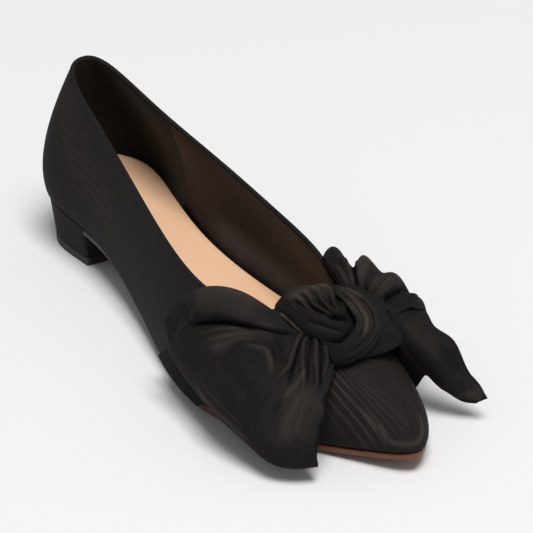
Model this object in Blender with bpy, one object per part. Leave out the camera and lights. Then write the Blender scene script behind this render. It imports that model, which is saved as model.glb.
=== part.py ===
"""Bow flat: a right shoe for a woman, low block heel, ribbon bow tied across the vamp.

Sizes are in millimetres and are turned into metres where a mesh is made. The toe points to -Y, the
inner (big toe) side is +X, and the floor is z = 0.
"""

import math

import bmesh
import bpy
import numpy as np
from mathutils import Matrix, Vector

MM = 0.001
GAP = 0.35                    # clearance between pieces that meet

# Driving sizes of the last
LENGTH = 245.0                # heel back to toe tip
BALL_WIDTH = 79.0             # across the ball of the foot, at the sole
HEEL_HEIGHT = 22.5            # floor to heel seat, at the back
BACK_HEIGHT = 73.0            # floor to the topline, at the heel
TOE_SPRING = 6.0              # floor to the sole, at the toe tip

# Thicknesses
UPPER_WALL = 1.8
OUTSOLE_THICKNESS = 2.4
INSOLE_THICKNESS = 3.0
TOP_PIECE_THICKNESS = 3.6
RIBBON_THICKNESS = 1.4

# Places along the last, from the heel back
BREAST_PLACE = 44.0           # front face of the heel
TREAD_START = 148.0           # where the sole comes down to the floor
TREAD_END = 186.0             # where it leaves the floor again
SEAT_FALL = 4.9               # drop of the heel seat from back to breast
HEEL_TAPER = 0.93             # foot of the heel against its seat
HEEL_INSET = 0.6              # how far the heel's edge lies inside the upper's
SOCK_CUP = 3.2                # extra height of the padded sock at the heel back
SOCK_CUP_REACH = 40.0         # how far forward that cup runs out
SOLE_INSET = 0.4              # how far the outsole's edge lies inside the upper's
WAIST_INSET = 2.4             # how much further it draws in under the waist

# The upper's sections, in order round the shoe from the heel back by the outer side to the toe and home
# by the inner side. foot: where the section meets the sole; top: where it ends at the topline. Along is
# a share of LENGTH, across a share of BALL_WIDTH (inner side positive), rise a share of BACK_HEIGHT.
# flare: outward lean at the sole in degrees, low: height of the upright wall in mm, drop: how steeply
# the section leaves the topline in degrees (90 is straight down), high: reach of that stretch in mm.
SECTION_COLUMNS = (
    "foot_along", "foot_across", "top_along", "top_across", "top_rise", "flare", "low", "drop", "high",
)
UPPER_SECTIONS = (
    (0.002, -0.030, 0.022, -0.044, 1.000, 30.0, 17.0, 70.0, 15.0),        # heel back
    (0.049, -0.318, 0.049, -0.160, 0.963, 22.0, 16.0, 64.0, 13.0),        # outer heel

    (0.171, -0.342, 0.163, -0.222, 0.838, 12.0, 16.0, 68.0, 16.0),        # outer quarter
    (0.327, -0.370, 0.318, -0.286, 0.690, 8.0, 12.0, 72.0, 12.0),         # outer waist
    (0.490, -0.475, 0.469, -0.354, 0.575, 6.0, 12.0, 66.0, 12.0),         # outer joint
    (0.633, -0.557, 0.600, -0.384, 0.532, 6.0, 12.0, 52.0, 11.0),         # outer ball
    (0.763, -0.494, 0.702, -0.323, 0.518, 6.0, 13.0, 36.0, 12.0),         # outer vamp
    (0.873, -0.313, 0.743, -0.222, 0.532, 8.0, 14.0, 24.0, 20.0),         # outer toe
    (0.953, -0.152, 0.757, -0.139, 0.545, 10.0, 13.0, 20.0, 28.0),        # outer toe curve
    (0.998, -0.018, 0.761, -0.076, 0.551, 12.0, 12.0, 19.0, 32.0),        # toe tip
    (0.967, 0.113, 0.755, -0.010, 0.553, 12.0, 12.0, 21.0, 27.0),         # inner toe curve
    (0.890, 0.247, 0.737, 0.070, 0.556, 8.0, 12.0, 26.0, 19.0),           # inner toe
    (0.759, 0.360, 0.682, 0.157, 0.556, 6.0, 12.0, 36.0, 13.0),           # inner ball
    (0.612, 0.367, 0.592, 0.251, 0.556, 8.0, 13.0, 58.0, 12.0),           # inner joint
    (0.457, 0.278, 0.457, 0.278, 0.589, 12.0, 14.0, 76.0, 13.0),          # inner waist
    (0.306, 0.209, 0.314, 0.228, 0.693, 14.0, 16.0, 80.0, 14.0),          # inner quarter
    (0.171, 0.247, 0.163, 0.137, 0.838, 16.0, 17.0, 72.0, 16.0),          # inner heel seat
    (0.057, 0.247, 0.049, 0.063, 0.963, 22.0, 16.0, 64.0, 14.0),          # inner heel
)
VAMP_REACH = 35.0             # plan length of a section, in mm, from which it runs straight over the vamp
SECTIONS_BETWEEN = 5          # sections worked out for each row of the table
POINTS_UP = 9                 # points from sole to topline
POINTS_ACROSS = 7             # points across the soles

# The bow's loops. A row is a fold line that runs from the knot out to the bend and back under. share: its
# place across the ribbon from the heel side (0) to the toe side (1). knot: where it leaves the knot; bend:
# where it turns back; both as along, across and height in mm. rise: how far it runs out before it falls,
# tilt: its upward lean as it leaves the knot in degrees, hang: height of the stretch that hangs straight
# above the bend, lift: room between the layers there.
LOOP_COLUMNS = (
    "share", "knot_along", "knot_across", "knot_height", "bend_along", "bend_across", "bend_height",
    "rise", "tilt", "hang", "lift",
)
OUTER_LOOP = (
    (0.00, 181.0, -25.0, 42.5, 150.0, -49.5, 28.0, 28.0, 38.0, 11.0, 4.0),   # heel edge
    (0.16, 184.0, -24.0, 44.0, 159.0, -51.5, 23.0, 30.0, 34.0, 14.0, 4.5),   # rolled lobe
    (0.34, 189.0, -22.4, 41.2, 173.0, -52.5, 18.5, 13.0, 6.0, 14.0, 4.5),    # trough
    (0.60, 197.0, -19.8, 39.7, 194.0, -53.5, 16.0, 16.0, 3.0, 18.0, 5.0),    # broad face
    (0.82, 205.0, -17.4, 36.2, 214.0, -50.5, 11.5, 15.0, 3.0, 16.0, 5.0),    # gathers
    (0.94, 209.5, -15.6, 32.7, 226.5, -44.5, 8.5, 12.0, 3.0, 12.0, 4.5),     # lower corner
    (1.00, 211.5, -14.6, 31.2, 231.5, -36.0, 8.5, 12.0, 3.0, 10.0, 4.0),     # toe edge
)
INNER_LOOP = (
    (0.00, 187.5, 5.2, 45.2, 159.0, 15.0, 44.4, 12.0, 4.0, 1.6, 2.4),        # heel edge
    (0.15, 188.5, 7.0, 46.5, 153.0, 22.6, 39.4, 22.0, 8.0, 8.0, 3.0),        # first lobe
    (0.28, 190.0, 7.6, 46.5, 165.5, 22.5, 36.5, 12.0, 5.0, 8.0, 4.5),        # notch
    (0.41, 192.0, 8.6, 46.2, 166.5, 27.0, 35.0, 22.0, 24.0, 13.0, 5.0),      # second lobe
    (0.54, 193.6, 9.4, 45.5, 176.0, 30.5, 33.0, 18.0, 18.0, 9.0, 5.0),       # dip between
    (0.68, 195.8, 10.8, 44.4, 183.5, 34.0, 31.0, 19.0, 24.0, 12.0, 5.0),     # third lobe
    (0.81, 199.0, 12.8, 42.0, 188.5, 36.0, 29.5, 10.0, 10.0, 8.0, 4.0),      # dark fold
    (0.92, 202.0, 14.8, 40.2, 193.0, 36.8, 29.0, 13.0, 24.0, 9.0, 3.0),      # shoulder
    (1.00, 204.5, 16.4, 39.0, 198.5, 33.5, 29.0, 10.0, 22.0, 7.0, 2.4),      # toe edge
)
# The bow's inner tail, a row for each section from the knot to its slanted end: its toe side edge and its
# heel side edge as along, across and height in mm, and how far its middle swells above them.
TAIL_COLUMNS = (
    "toe_along", "toe_across", "toe_height", "heel_along", "heel_across", "heel_height", "swell",
)
INNER_TAIL = (
    (206.0, 17.2, 36.6, 203.0, 31.8, 31.4, 0.8),
    (208.2, 17.0, 31.5, 205.8, 33.0, 30.2, 1.8),
    (210.3, 18.8, 25.5, 211.2, 35.8, 28.2, 2.4),
    (213.0, 22.0, 20.5, 215.4, 37.4, 23.4, 2.6),
    (216.5, 25.5, 15.5, 218.4, 39.0, 17.0, 2.4),
    (219.4, 28.5, 12.0, 221.4, 40.6, 13.6, 1.8),
    (221.5, 33.5, 8.0, 225.8, 40.8, 11.8, 1.0),
    (224.0, 39.0, 6.8, 228.0, 41.02, 9.6, 0.3),
)

# The bow's outer tail lies against the upper's side under the outer loop. A row gives its two edges as
# places on the upper (section counted round the shoe, share of the way up) and how far it stands off.
OUTER_TAIL_COLUMNS = ("toe_section", "toe_up", "heel_section", "heel_up", "off")
OUTER_TAIL = (
    (32.5, 0.98, 30.5, 0.98, 1.2),
    (31.5, 0.76, 28.5, 0.84, 1.2),
    (30.2, 0.50, 26.5, 0.64, 1.4),
    (28.8, 0.26, 24.4, 0.42, 2.2),
    (27.2, 0.05, 22.8, 0.19, 3.6),
)
LOOP_MOUTH = 3.0              # room between a loop's two layers at the knot
POINTS_OVER = 10              # points along a loop's upper layer
POINTS_BEND = 5               # points round its bend
RIBBON_ACROSS = 12            # points across a loop
TAIL_ALONG = 14               # points along a tail
TAIL_ACROSS = 6               # points across it

# The knot: a wrapped barrel lying across the vamp
KNOT_PLACE = 196.0            # its middle, along
KNOT_OUTER = -18.5            # its two ends, across
KNOT_INNER = 9.5
KNOT_SKEW = 0.33              # how far its outer end swings to the inner side for each mm towards the toe
KNOT_INNER_SKEW = 0.6         # and its inner end
KNOT_HEIGHT = 43.4            # floor to its middle
KNOT_HALF_LENGTH = 17.0       # along, at its middle
KNOT_OVER = 6.4               # thickness above its middle line
KNOT_UNDER = 3.9              # and below it
KNOT_END_SHARE = 0.6          # size of its ends against its middle
KNOT_FALL = 0.4               # how far it falls for each mm towards the toe, at its middle
KNOT_CURVE = 0.015            # how much steeper that gets, for each mm
KNOT_DROOP = 3.0              # how far its ends hang below its middle
KNOT_RINGS = 11
KNOT_POINTS = 20


def spline(knots, values, samples, closed=False):
    """Cubic spline through the values, one row for each knot; closed joins the last row to the first."""
    values = np.asarray(values, float)
    count = len(values)
    step = np.diff(knots)
    ahead = np.roll(values, -1, axis=0) if closed else values[1:]
    slope = (ahead - values[:len(step)]) / step[:, None]
    matrix = np.eye(count)
    right = np.zeros_like(values)
    for i in range(count) if closed else range(1, count - 1):
        matrix[i] = 0
        matrix[i, i - 1] += step[i - 1]
        matrix[i, i] += 2 * (step[i - 1] + step[i])
        matrix[i, (i + 1) % count] += step[i]
        right[i] = 6 * (slope[i] - slope[i - 1])
    bend = np.linalg.solve(matrix, right)
    found = []
    for s in samples:
        i = min(int(np.searchsorted(knots, s, side="right")) - 1, len(step) - 1)
        j = (i + 1) % count
        u = (s - knots[i]) / step[i]
        curve = ((1 - u) ** 3 - (1 - u)) * bend[i] + (u ** 3 - u) * bend[j]
        found.append((1 - u) * values[i] + u * values[j] + curve * step[i] ** 2 / 6)
    return np.array(found)


def bezier(ends, u):
    """Point at share u of a cubic Bezier curve through four control points."""
    weights = ((1 - u) ** 3, 3 * u * (1 - u) ** 2, 3 * u * u * (1 - u), u ** 3)
    return sum(w * np.asarray(e) for w, e in zip(weights, ends))


def unit(vector):
    return vector / np.linalg.norm(vector)


def seat_height(along):
    """Height of the upper's lower edge: heel seat, waist, flat tread and toe spring."""
    tread = OUTSOLE_THICKNESS + GAP
    breast = HEEL_HEIGHT - SEAT_FALL
    if along <= BREAST_PLACE:
        return HEEL_HEIGHT - SEAT_FALL * along / BREAST_PLACE
    if along < TREAD_START:
        run = TREAD_START - BREAST_PLACE
        fall = SEAT_FALL / BREAST_PLACE * run
        return bezier((breast, breast - fall / 3, tread, tread), (along - BREAST_PLACE) / run)
    if along <= TREAD_END:
        return tread
    return tread + TOE_SPRING * ((along - TREAD_END) / (LENGTH - TREAD_END)) ** 2


def upper_rows():
    """The section table resampled round the shoe: a dict of sizes in millimetres for each section."""
    scale = np.array([LENGTH, BALL_WIDTH, LENGTH, BALL_WIDTH, BACK_HEIGHT, 1, 1, 1, 1])
    table = np.array(UPPER_SECTIONS) * scale
    ring = np.vstack([table, table[:1]])
    chord = np.linalg.norm(np.diff(ring[:, :2], axis=0), axis=1)
    knots = np.concatenate([[0], np.cumsum(chord ** 0.6)])
    samples = [
        knots[i] + (knots[i + 1] - knots[i]) * k / SECTIONS_BETWEEN
        for i in range(len(table)) for k in range(SECTIONS_BETWEEN)
    ]
    return [dict(zip(SECTION_COLUMNS, row)) for row in spline(knots, table, samples, closed=True)]


def plan_normals(outline):
    """Outward plan direction at each point of a closed outline."""
    run = np.roll(outline, -1, axis=0) - np.roll(outline, 1, axis=0)
    outward = np.column_stack([run[:, 1], -run[:, 0]])
    return outward / np.linalg.norm(outward, axis=1, keepdims=True)


def wall_profile(row, outward):
    """Outer points of one section from sole to topline, as along, across and height."""
    foot = np.array([row["foot_along"], row["foot_across"], seat_height(row["foot_along"])])
    top = np.array([row["top_along"], row["top_across"], row["top_rise"]])
    flare = math.radians(row["flare"])
    drop = math.radians(row["drop"])
    reach = (foot - top)[:2]
    length = np.linalg.norm(reach)
    leave = unit(max(1 - length / VAMP_REACH, 0.0) * outward + reach / max(length, VAMP_REACH))
    low = row["low"] * np.array([*(outward * math.sin(flare)), math.cos(flare)])
    high = row["high"] * np.array([*(leave * math.cos(drop)), -math.sin(drop)])
    ends = (foot, foot + low, top + high, top)
    return [bezier(ends, k / (POINTS_UP - 1)) for k in range(POINTS_UP)]


def upper_grid():
    """Outer points of the upper, as an array of sections by points up."""
    rows = upper_rows()
    outward = plan_normals(np.array([(row["foot_along"], row["foot_across"]) for row in rows]))
    return np.array([wall_profile(row, out) for row, out in zip(rows, outward)])


def grid_normals(grid, closed):
    """Normals of a grid of points; closed says that its first direction runs round the shoe."""
    if closed:
        first = np.roll(grid, -1, axis=0) - np.roll(grid, 1, axis=0)
    else:
        first = np.gradient(grid, axis=0)
    normal = np.cross(first, np.gradient(grid, axis=1))
    return normal / np.linalg.norm(normal, axis=2, keepdims=True)


def grid_point(grid, section, up):
    """Value of the upper's grid between its points: section counted round the shoe, up as a share."""
    i = int(section)
    j = min(int(up * (POINTS_UP - 1)), POINTS_UP - 2)
    u = section - i
    v = up * (POINTS_UP - 1) - j
    near = grid[i, j] * (1 - v) + grid[i, j + 1] * v
    far = grid[i + 1, j] * (1 - v) + grid[i + 1, j + 1] * v
    return near * (1 - u) + far * u


def sole_edge(inset):
    """The upper's plan outline at the sole, moved inwards."""
    outline = upper_grid()[:, 0, :2]
    return outline - np.reshape(inset, (-1, 1)) * plan_normals(outline)


def cross_lines(outline):
    """Lines across a closed plan outline, heel to toe, each from the outer to the inner side."""
    lines = []
    for i in range(len(outline) // 2 + 1):
        outer, inner = outline[i], outline[-i % len(outline)]
        lines.append([outer + (inner - outer) * k / (POINTS_ACROSS - 1) for k in range(POINTS_ACROSS)])
    return np.array(lines)


def split_lines(lines, along):
    """The lines behind and ahead of a place along the shoe, each with one more line just there."""
    middles = lines[:, :, 0].mean(axis=1)
    n = int(np.searchsorted(middles, along))
    u = (along - middles[n - 1]) / (middles[n] - middles[n - 1])
    there = lines[n - 1] + u * (lines[n] - lines[n - 1])
    return np.concatenate([lines[:n], [there]]), np.concatenate([[there], lines[n:]])


def at_heights(line, height):
    """Points of a plan line, each at the height that its place along the shoe gives."""
    return np.array([(a, c, height(a)) for a, c in line])


def material(name, colour, roughness):
    made = bpy.data.materials.new(name)
    made.use_nodes = True
    shader = made.node_tree.nodes["Principled BSDF"]
    shader.inputs["Base Color"].default_value = (*colour, 1.0)
    shader.inputs["Roughness"].default_value = roughness
    shader.inputs["Metallic"].default_value = 0.0
    return made


def loft(name, rings, look, closed=False):
    """A solid skinned over rings of points; rings that shrink to a point or a line are welded."""
    mesh = bmesh.new()
    loops = []
    for ring in rings:
        points = [(across * MM, (LENGTH / 2 - along) * MM, height * MM) for along, across, height in ring]
        loops.append([mesh.verts.new(point) for point in points])
    count = len(loops)
    for i in range(count if closed else count - 1):
        first, second = loops[i], loops[(i + 1) % count]
        for k in range(len(first)):
            n = (k + 1) % len(first)
            mesh.faces.new((first[k], first[n], second[n], second[k]))
    if not closed:
        mesh.faces.new(loops[0][::-1])
        mesh.faces.new(loops[-1])
    bmesh.ops.remove_doubles(mesh, verts=mesh.verts, dist=1e-6)
    bmesh.ops.dissolve_degenerate(mesh, edges=mesh.edges, dist=1e-6)
    bmesh.ops.recalc_face_normals(mesh, faces=mesh.faces)
    data = bpy.data.meshes.new(name)
    mesh.to_mesh(data)
    mesh.free()
    data.materials.append(look)
    made = bpy.data.objects.new(name, data)
    bpy.context.scene.collection.objects.link(made)
    return made


def make_upper(look):
    outer = upper_grid()
    inner = outer - UPPER_WALL * grid_normals(outer, closed=True)
    inner[:, 0, 2] = outer[:, 0, 2]
    rings = [np.vstack([out, back[::-1]]) for out, back in zip(outer, inner)]
    return loft("upper", rings, look, closed=True)


def make_insole(look):
    rings = []
    for line in cross_lines(sole_edge(UPPER_WALL + 2 * GAP)):
        base = at_heights(line, seat_height)
        top = base.copy()
        top[:, 2] += INSOLE_THICKNESS + SOCK_CUP * np.clip(1 - line[:, 0] / SOCK_CUP_REACH, 0, 1) ** 2
        rings.append(np.vstack([top, base[::-1]]))
    return loft("insole", rings, look)


def make_outsole(look):
    along = sole_edge(0)[:, 0]
    waist = np.clip(np.minimum(along - BREAST_PLACE, TREAD_START - along) / 40, 0, 1)
    lines = cross_lines(sole_edge(SOLE_INSET + WAIST_INSET * waist))
    rings = []
    for line in split_lines(lines, BREAST_PLACE + GAP)[1]:
        top = at_heights(line, lambda a: seat_height(a) - GAP)
        rings.append(np.vstack([top, top[::-1] - (0, 0, OUTSOLE_THICKNESS)]))
    return loft("outsole", rings, look)


def heel_outline(share):
    """Plan outline of the heel, with a flat breast; share is 0 at the seat and 1 at the floor."""
    lines = split_lines(cross_lines(sole_edge(HEEL_INSET)), BREAST_PLACE)[0]
    outline = np.vstack([lines[::-1, 0], lines[1:, -1]])
    centre = np.array([BREAST_PLACE, outline[:, 1].mean()])
    return centre + (outline - centre) * (1 - (1 - HEEL_TAPER) * share)


def make_heel(look):
    floor = TOP_PIECE_THICKNESS + GAP
    rings = []
    for share in (0.0, 0.5, 1.0):
        seat = at_heights(heel_outline(share), lambda a: seat_height(a) - GAP)
        seat[:, 2] += (floor - seat[:, 2]) * share
        rings.append(seat)
    return loft("heel", rings, look)


def make_heel_top_piece(look):
    outline = heel_outline(1.0)
    rings = [at_heights(outline, lambda a: TOP_PIECE_THICKNESS), at_heights(outline, lambda a: 0.0)]
    return loft("heel_top_piece", rings, look)


def fold_line(row):
    """Points of one fold line of a loop: over the top, round the bend and back under to the knot."""
    knot = np.array([row["knot_along"], row["knot_across"], row["knot_height"]])
    bend = np.array([row["bend_along"], row["bend_across"], row["bend_height"]])
    out = unit(np.array([*(bend - knot)[:2], 0.0]))
    up = np.array([0.0, 0.0, 1.0])
    tilt = math.radians(row["tilt"])

    start = row["rise"] * (out * math.cos(tilt) + up * math.sin(tilt))
    over = (knot, knot + start, bend + up * row["hang"], bend)
    half = row["lift"] / 2
    middle = bend - out * half
    home = bend - out * row["lift"]
    mouth = knot - up * LOOP_MOUTH
    under = (home, home + up * row["hang"] * 0.9, mouth + out * row["rise"] * 0.8, mouth)
    points = [bezier(over, k / (POINTS_OVER - 1)) for k in range(POINTS_OVER)]
    for k in range(1, POINTS_BEND):
        turn = math.pi * k / POINTS_BEND
        points.append(middle + half * (out * math.cos(turn) - up * math.sin(turn)))
    points += [bezier(under, k / (POINTS_OVER - 1)) for k in range(POINTS_OVER)]
    return points


def ribbon(name, grid, look):
    """A band of the ribbon's thickness over a grid of points, along by across."""
    offset = grid_normals(grid, closed=False) * RIBBON_THICKNESS / 2
    rings = [np.vstack([line + lift, (line - lift)[::-1]]) for line, lift in zip(grid, offset)]
    return loft(name, rings, look)


def make_loop(name, table, look):
    table = np.array(table)
    shares = [k / (RIBBON_ACROSS - 1) for k in range(RIBBON_ACROSS)]
    rows = [dict(zip(LOOP_COLUMNS, row)) for row in spline(table[:, 0], table, shares)]
    lines = np.array([fold_line(row) for row in rows])
    return ribbon(name, lines.transpose(1, 0, 2), look)


def tail_rows(table, columns):
    """A tail's table resampled along the tail: a dict for each section."""
    knots = np.linspace(0, 1, len(table))
    samples = np.linspace(0, 1, TAIL_ALONG)
    return [dict(zip(columns, row)) for row in spline(knots, table, samples)]


def make_bow_tail_inner(look):
    grid = []
    for row in tail_rows(INNER_TAIL, TAIL_COLUMNS):
        toe = np.array([row["toe_along"], row["toe_across"], row["toe_height"]])
        heel = np.array([row["heel_along"], row["heel_across"], row["heel_height"]])
        shares = np.linspace(0, 1, TAIL_ACROSS)
        line = toe + np.outer(shares, heel - toe)
        line[:, 2] += row["swell"] * np.sin(np.pi * shares)
        grid.append(line)
    return ribbon("bow_tail_inner", np.array(grid), look)


def make_bow_tail_outer(look):
    surface = upper_grid()
    away = grid_normals(surface, closed=True)
    grid = []
    for row in tail_rows(OUTER_TAIL, OUTER_TAIL_COLUMNS):
        line = []
        for share in np.linspace(0, 1, TAIL_ACROSS):
            section = row["toe_section"] + (row["heel_section"] - row["toe_section"]) * share
            up = row["toe_up"] + (row["heel_up"] - row["toe_up"]) * share
            outward = unit(grid_point(away, section, up))
            line.append(grid_point(surface, section, up) + row["off"] * outward)
        grid.append(line)
    return ribbon("bow_tail_outer", np.array(grid), look)


def make_bow_knot(look):
    rings = []
    for i in range(KNOT_RINGS):
        u = 2 * i / (KNOT_RINGS - 1) - 1
        size = KNOT_END_SHARE + (1 - KNOT_END_SHARE) * math.sqrt(1 - u * u)
        across = KNOT_OUTER + (KNOT_INNER - KNOT_OUTER) * (u + 1) / 2
        skew = KNOT_SKEW + (KNOT_INNER_SKEW - KNOT_SKEW) * (u + 1) / 2
        ring = []
        for k in range(KNOT_POINTS):
            turn = 2 * math.pi * k / KNOT_POINTS
            run = size * KNOT_HALF_LENGTH * math.cos(turn)
            lift = size * (KNOT_OVER if turn < math.pi else KNOT_UNDER) * math.sin(turn)
            height = KNOT_HEIGHT + lift - KNOT_FALL * run - KNOT_CURVE * run ** 2 - KNOT_DROOP * u * u
            ring.append((KNOT_PLACE + run, across + skew * run, height))
        rings.append(ring)
    return loft("bow_knot", rings, look)


def centre_on_floor(pieces):
    """Moves all pieces so that the origin is the middle of the shoe's footprint, on the floor."""
    corners = np.array([v.co for piece in pieces for v in piece.data.vertices])
    low, high = corners.min(axis=0), corners.max(axis=0)
    shift = Matrix.Translation(Vector((-(low[0] + high[0]) / 2, -(low[1] + high[1]) / 2, -low[2])))
    for piece in pieces:
        piece.data.transform(shift)


def clear_scene():
    for old in list(bpy.data.objects):
        bpy.data.objects.remove(old, do_unlink=True)


def main():
    clear_scene()
    cloth = material("black_moire_cloth", (0.021, 0.017, 0.016), 0.55)
    sock = material("beige_sock_leather", (0.72, 0.50, 0.38), 0.5)
    sole = material("tan_sole_leather", (0.36, 0.16, 0.10), 0.5)
    rubber = material("black_heel_rubber", (0.020, 0.018, 0.018), 0.6)
    centre_on_floor([
        make_upper(cloth),
        make_insole(sock),
        make_outsole(sole),
        make_heel(cloth),
        make_heel_top_piece(rubber),
        make_bow_knot(cloth),
        make_loop("bow_loop_outer", OUTER_LOOP, cloth),
        make_loop("bow_loop_inner", INNER_LOOP, cloth),
        make_bow_tail_inner(cloth),
        make_bow_tail_outer(cloth),
    ])


if __name__ == "__main__":
    main()
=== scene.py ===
"""Looks of the bow flat: a black moire pump for a right foot with a soft ribbon bow across its vamp.

Sizes in the tables are millimetres, given as along (from the heel's back), across (inner side positive)
and height (from the floor), and are turned into the part's own frame in metres where a mesh is made.
"""

import math

import bmesh
import bpy
import numpy as np
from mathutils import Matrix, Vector, noise


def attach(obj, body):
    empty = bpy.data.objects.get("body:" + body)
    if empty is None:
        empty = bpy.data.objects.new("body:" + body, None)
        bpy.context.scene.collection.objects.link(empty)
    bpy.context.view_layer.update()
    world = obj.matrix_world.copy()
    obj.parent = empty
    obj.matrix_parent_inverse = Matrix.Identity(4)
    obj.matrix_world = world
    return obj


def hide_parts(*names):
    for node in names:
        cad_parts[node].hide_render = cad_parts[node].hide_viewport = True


bl_info = {
    "name": "Bow flat",
    "version": (1, 0, 0),
    "blender": (4, 5, 0),
    "location": "View3D > Sidebar > Bow flat",
    "description": "Dresses the packed bow flat with its cloth, leather and ribbon bow",
    "category": "Object",
}

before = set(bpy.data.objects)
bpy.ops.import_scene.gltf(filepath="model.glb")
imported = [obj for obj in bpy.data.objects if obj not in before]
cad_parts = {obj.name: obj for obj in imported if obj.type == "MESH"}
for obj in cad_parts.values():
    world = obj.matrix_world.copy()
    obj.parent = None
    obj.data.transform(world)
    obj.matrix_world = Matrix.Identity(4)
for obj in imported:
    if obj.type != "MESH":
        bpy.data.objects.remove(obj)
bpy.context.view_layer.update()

MM = 0.001
WELD = 1e-6                   # metres within which two points are made one
NO_LENGTH = 1e-7              # metres below which an edge is taken out
ORIGIN_ALONG = 120.733        # the part's origin in the tables' own measures
ORIGIN_ACROSS = -6.318

# Driving sizes of the last, as the solids have them
LENGTH = 245.0
BALL_WIDTH = 79.0
HEEL_HEIGHT = 22.5
BACK_HEIGHT = 73.0
TOE_SPRING = 6.0
GAP = 0.35
UPPER_WALL = 1.8
OUTSOLE_THICKNESS = 2.4
INSOLE_THICKNESS = 3.0
TOP_PIECE_THICKNESS = 3.6
BREAST_PLACE = 44.0
TREAD_START = 148.0
TREAD_END = 186.0
SEAT_FALL = 4.9
HEEL_TAPER = 0.93
HEEL_INSET = 0.6
SOCK_CUP = 3.2
SOCK_CUP_REACH = 40.0
SOLE_INSET = 0.4
WAIST_INSET = 2.4
WAIST_EASE = 40.0             # run over which the waist draws in
VAMP_REACH = 35.0
SECTION_SPACING = 0.6         # power of the distance between two sections that spaces them round the shoe
SOCK_WIDTH = 55.0             # usual widths of sock and sole, which place the points of their rounded edges
SOLE_WIDTH = 60.0
SOCK_EDGE_RADIUS = 1.2
SOLE_EDGE_RADIUS = 0.7
SOCK_POINTS = 24              # points across sock and sole between their rounded edges
SOLE_POINTS = 14
EDGE_POINTS = 6               # points of a rounded edge
HEEL_POINTS = 240             # points round the heel and along its breast, and levels down it
BREAST_POINTS = 40
HEEL_LEVELS = 25
CORNER_ROUNDS = 5             # how often the heel's outline is smoothed to soften its corners
TOP_PIECE_EDGE = ((0.5, 0.0), (0.15, 0.15), (0.0, 0.5))     # inset and depth of the top piece's rounded edges

# The upper's sections round the shoe, heel back by the outer side to the toe and home by the inner side.
# Along is a share of LENGTH, across of BALL_WIDTH, rise of BACK_HEIGHT; angles in degrees, reaches in mm.
SECTION_COLUMNS = (
    "foot_along", "foot_across", "top_along", "top_across", "top_rise", "flare", "low", "drop", "high",
)
UPPER_SECTIONS = (
    (0.002, -0.030, 0.022, -0.044, 1.000, 30.0, 17.0, 70.0, 15.0),        # heel back
    (0.049, -0.318, 0.049, -0.160, 0.963, 22.0, 16.0, 64.0, 13.0),        # outer heel
    (0.171, -0.342, 0.163, -0.222, 0.838, 12.0, 16.0, 68.0, 16.0),        # outer quarter
    (0.327, -0.370, 0.318, -0.286, 0.690, 8.0, 12.0, 72.0, 12.0),         # outer waist
    (0.490, -0.475, 0.469, -0.354, 0.575, 6.0, 12.0, 66.0, 12.0),         # outer joint
    (0.633, -0.557, 0.600, -0.384, 0.532, 6.0, 12.0, 52.0, 11.0),         # outer ball
    (0.763, -0.494, 0.702, -0.323, 0.518, 6.0, 13.0, 36.0, 12.0),         # outer vamp
    (0.873, -0.313, 0.743, -0.222, 0.532, 8.0, 14.0, 24.0, 20.0),         # outer toe
    (0.953, -0.152, 0.757, -0.139, 0.545, 10.0, 13.0, 20.0, 28.0),        # outer toe curve
    (0.998, -0.018, 0.761, -0.076, 0.551, 12.0, 12.0, 19.0, 32.0),        # toe tip
    (0.967, 0.113, 0.755, -0.010, 0.553, 12.0, 12.0, 21.0, 27.0),         # inner toe curve
    (0.890, 0.247, 0.737, 0.070, 0.556, 8.0, 12.0, 26.0, 19.0),           # inner toe
    (0.759, 0.360, 0.682, 0.157, 0.556, 6.0, 12.0, 36.0, 13.0),           # inner ball
    (0.612, 0.367, 0.592, 0.251, 0.556, 8.0, 13.0, 58.0, 12.0),           # inner joint
    (0.457, 0.278, 0.457, 0.278, 0.589, 12.0, 14.0, 76.0, 13.0),          # inner waist
    (0.306, 0.209, 0.314, 0.228, 0.693, 14.0, 16.0, 80.0, 14.0),          # inner quarter
    (0.171, 0.247, 0.163, 0.137, 0.838, 16.0, 17.0, 72.0, 16.0),          # inner heel seat
    (0.057, 0.247, 0.049, 0.063, 0.963, 22.0, 16.0, 64.0, 14.0),          # inner heel
)
SECTIONS_BETWEEN = 16
SECTIONS = SECTIONS_BETWEEN * len(UPPER_SECTIONS)
EDGE_SHARE = 0.04             # share of the way up, at foot and top, where the upper's points lie closer
FOOT_POINTS = 7
SIDE_POINTS = 44
TOP_POINTS = 5
BEAD_POINTS = 12              # the folded topline: points round it, its first and last angle, and its drop
BEAD_ANGLES = (-20, 200)
BEAD_DROP = 0.5
BEAD_LINING = 2               # last points of the bead, which are the lining's
BEAD_BELOW = 3                # point of a section, counted back from the topline, that gives its rise
GRIP_END = 52.0               # place along the shoe where the heel grip ends
GRIP_POINT = 5                # point of a section, counted back from its end, whose place is compared

# The cloth's flat measures on the upper: up the quarters, and over the vamp from the outer side to the inner
VAMP_CLOTH = (120.0, 180.0)   # places along between which the one measure turns into the other
CLOTH_ROUND = 309.0           # cloth over the vamp for one turn round the shoe
CLOTH_START = 0.55            # share of the way round where the vamp's measure starts
CLOTH_SLANT = 24.0            # how far the vamp's lines drift on their way up
CLOTH_LEVEL = 80.0            # height where the quarters' measure starts

# Where the upper's pressed lines show, and the single lighter lines painted into its colour: a thin line
# round the toe and a broad painted highlight on the quarter. A row is a strength, its reach to the left and
# to the right in mm, and marks in shares of the way round the shoe and of the way up.

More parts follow.
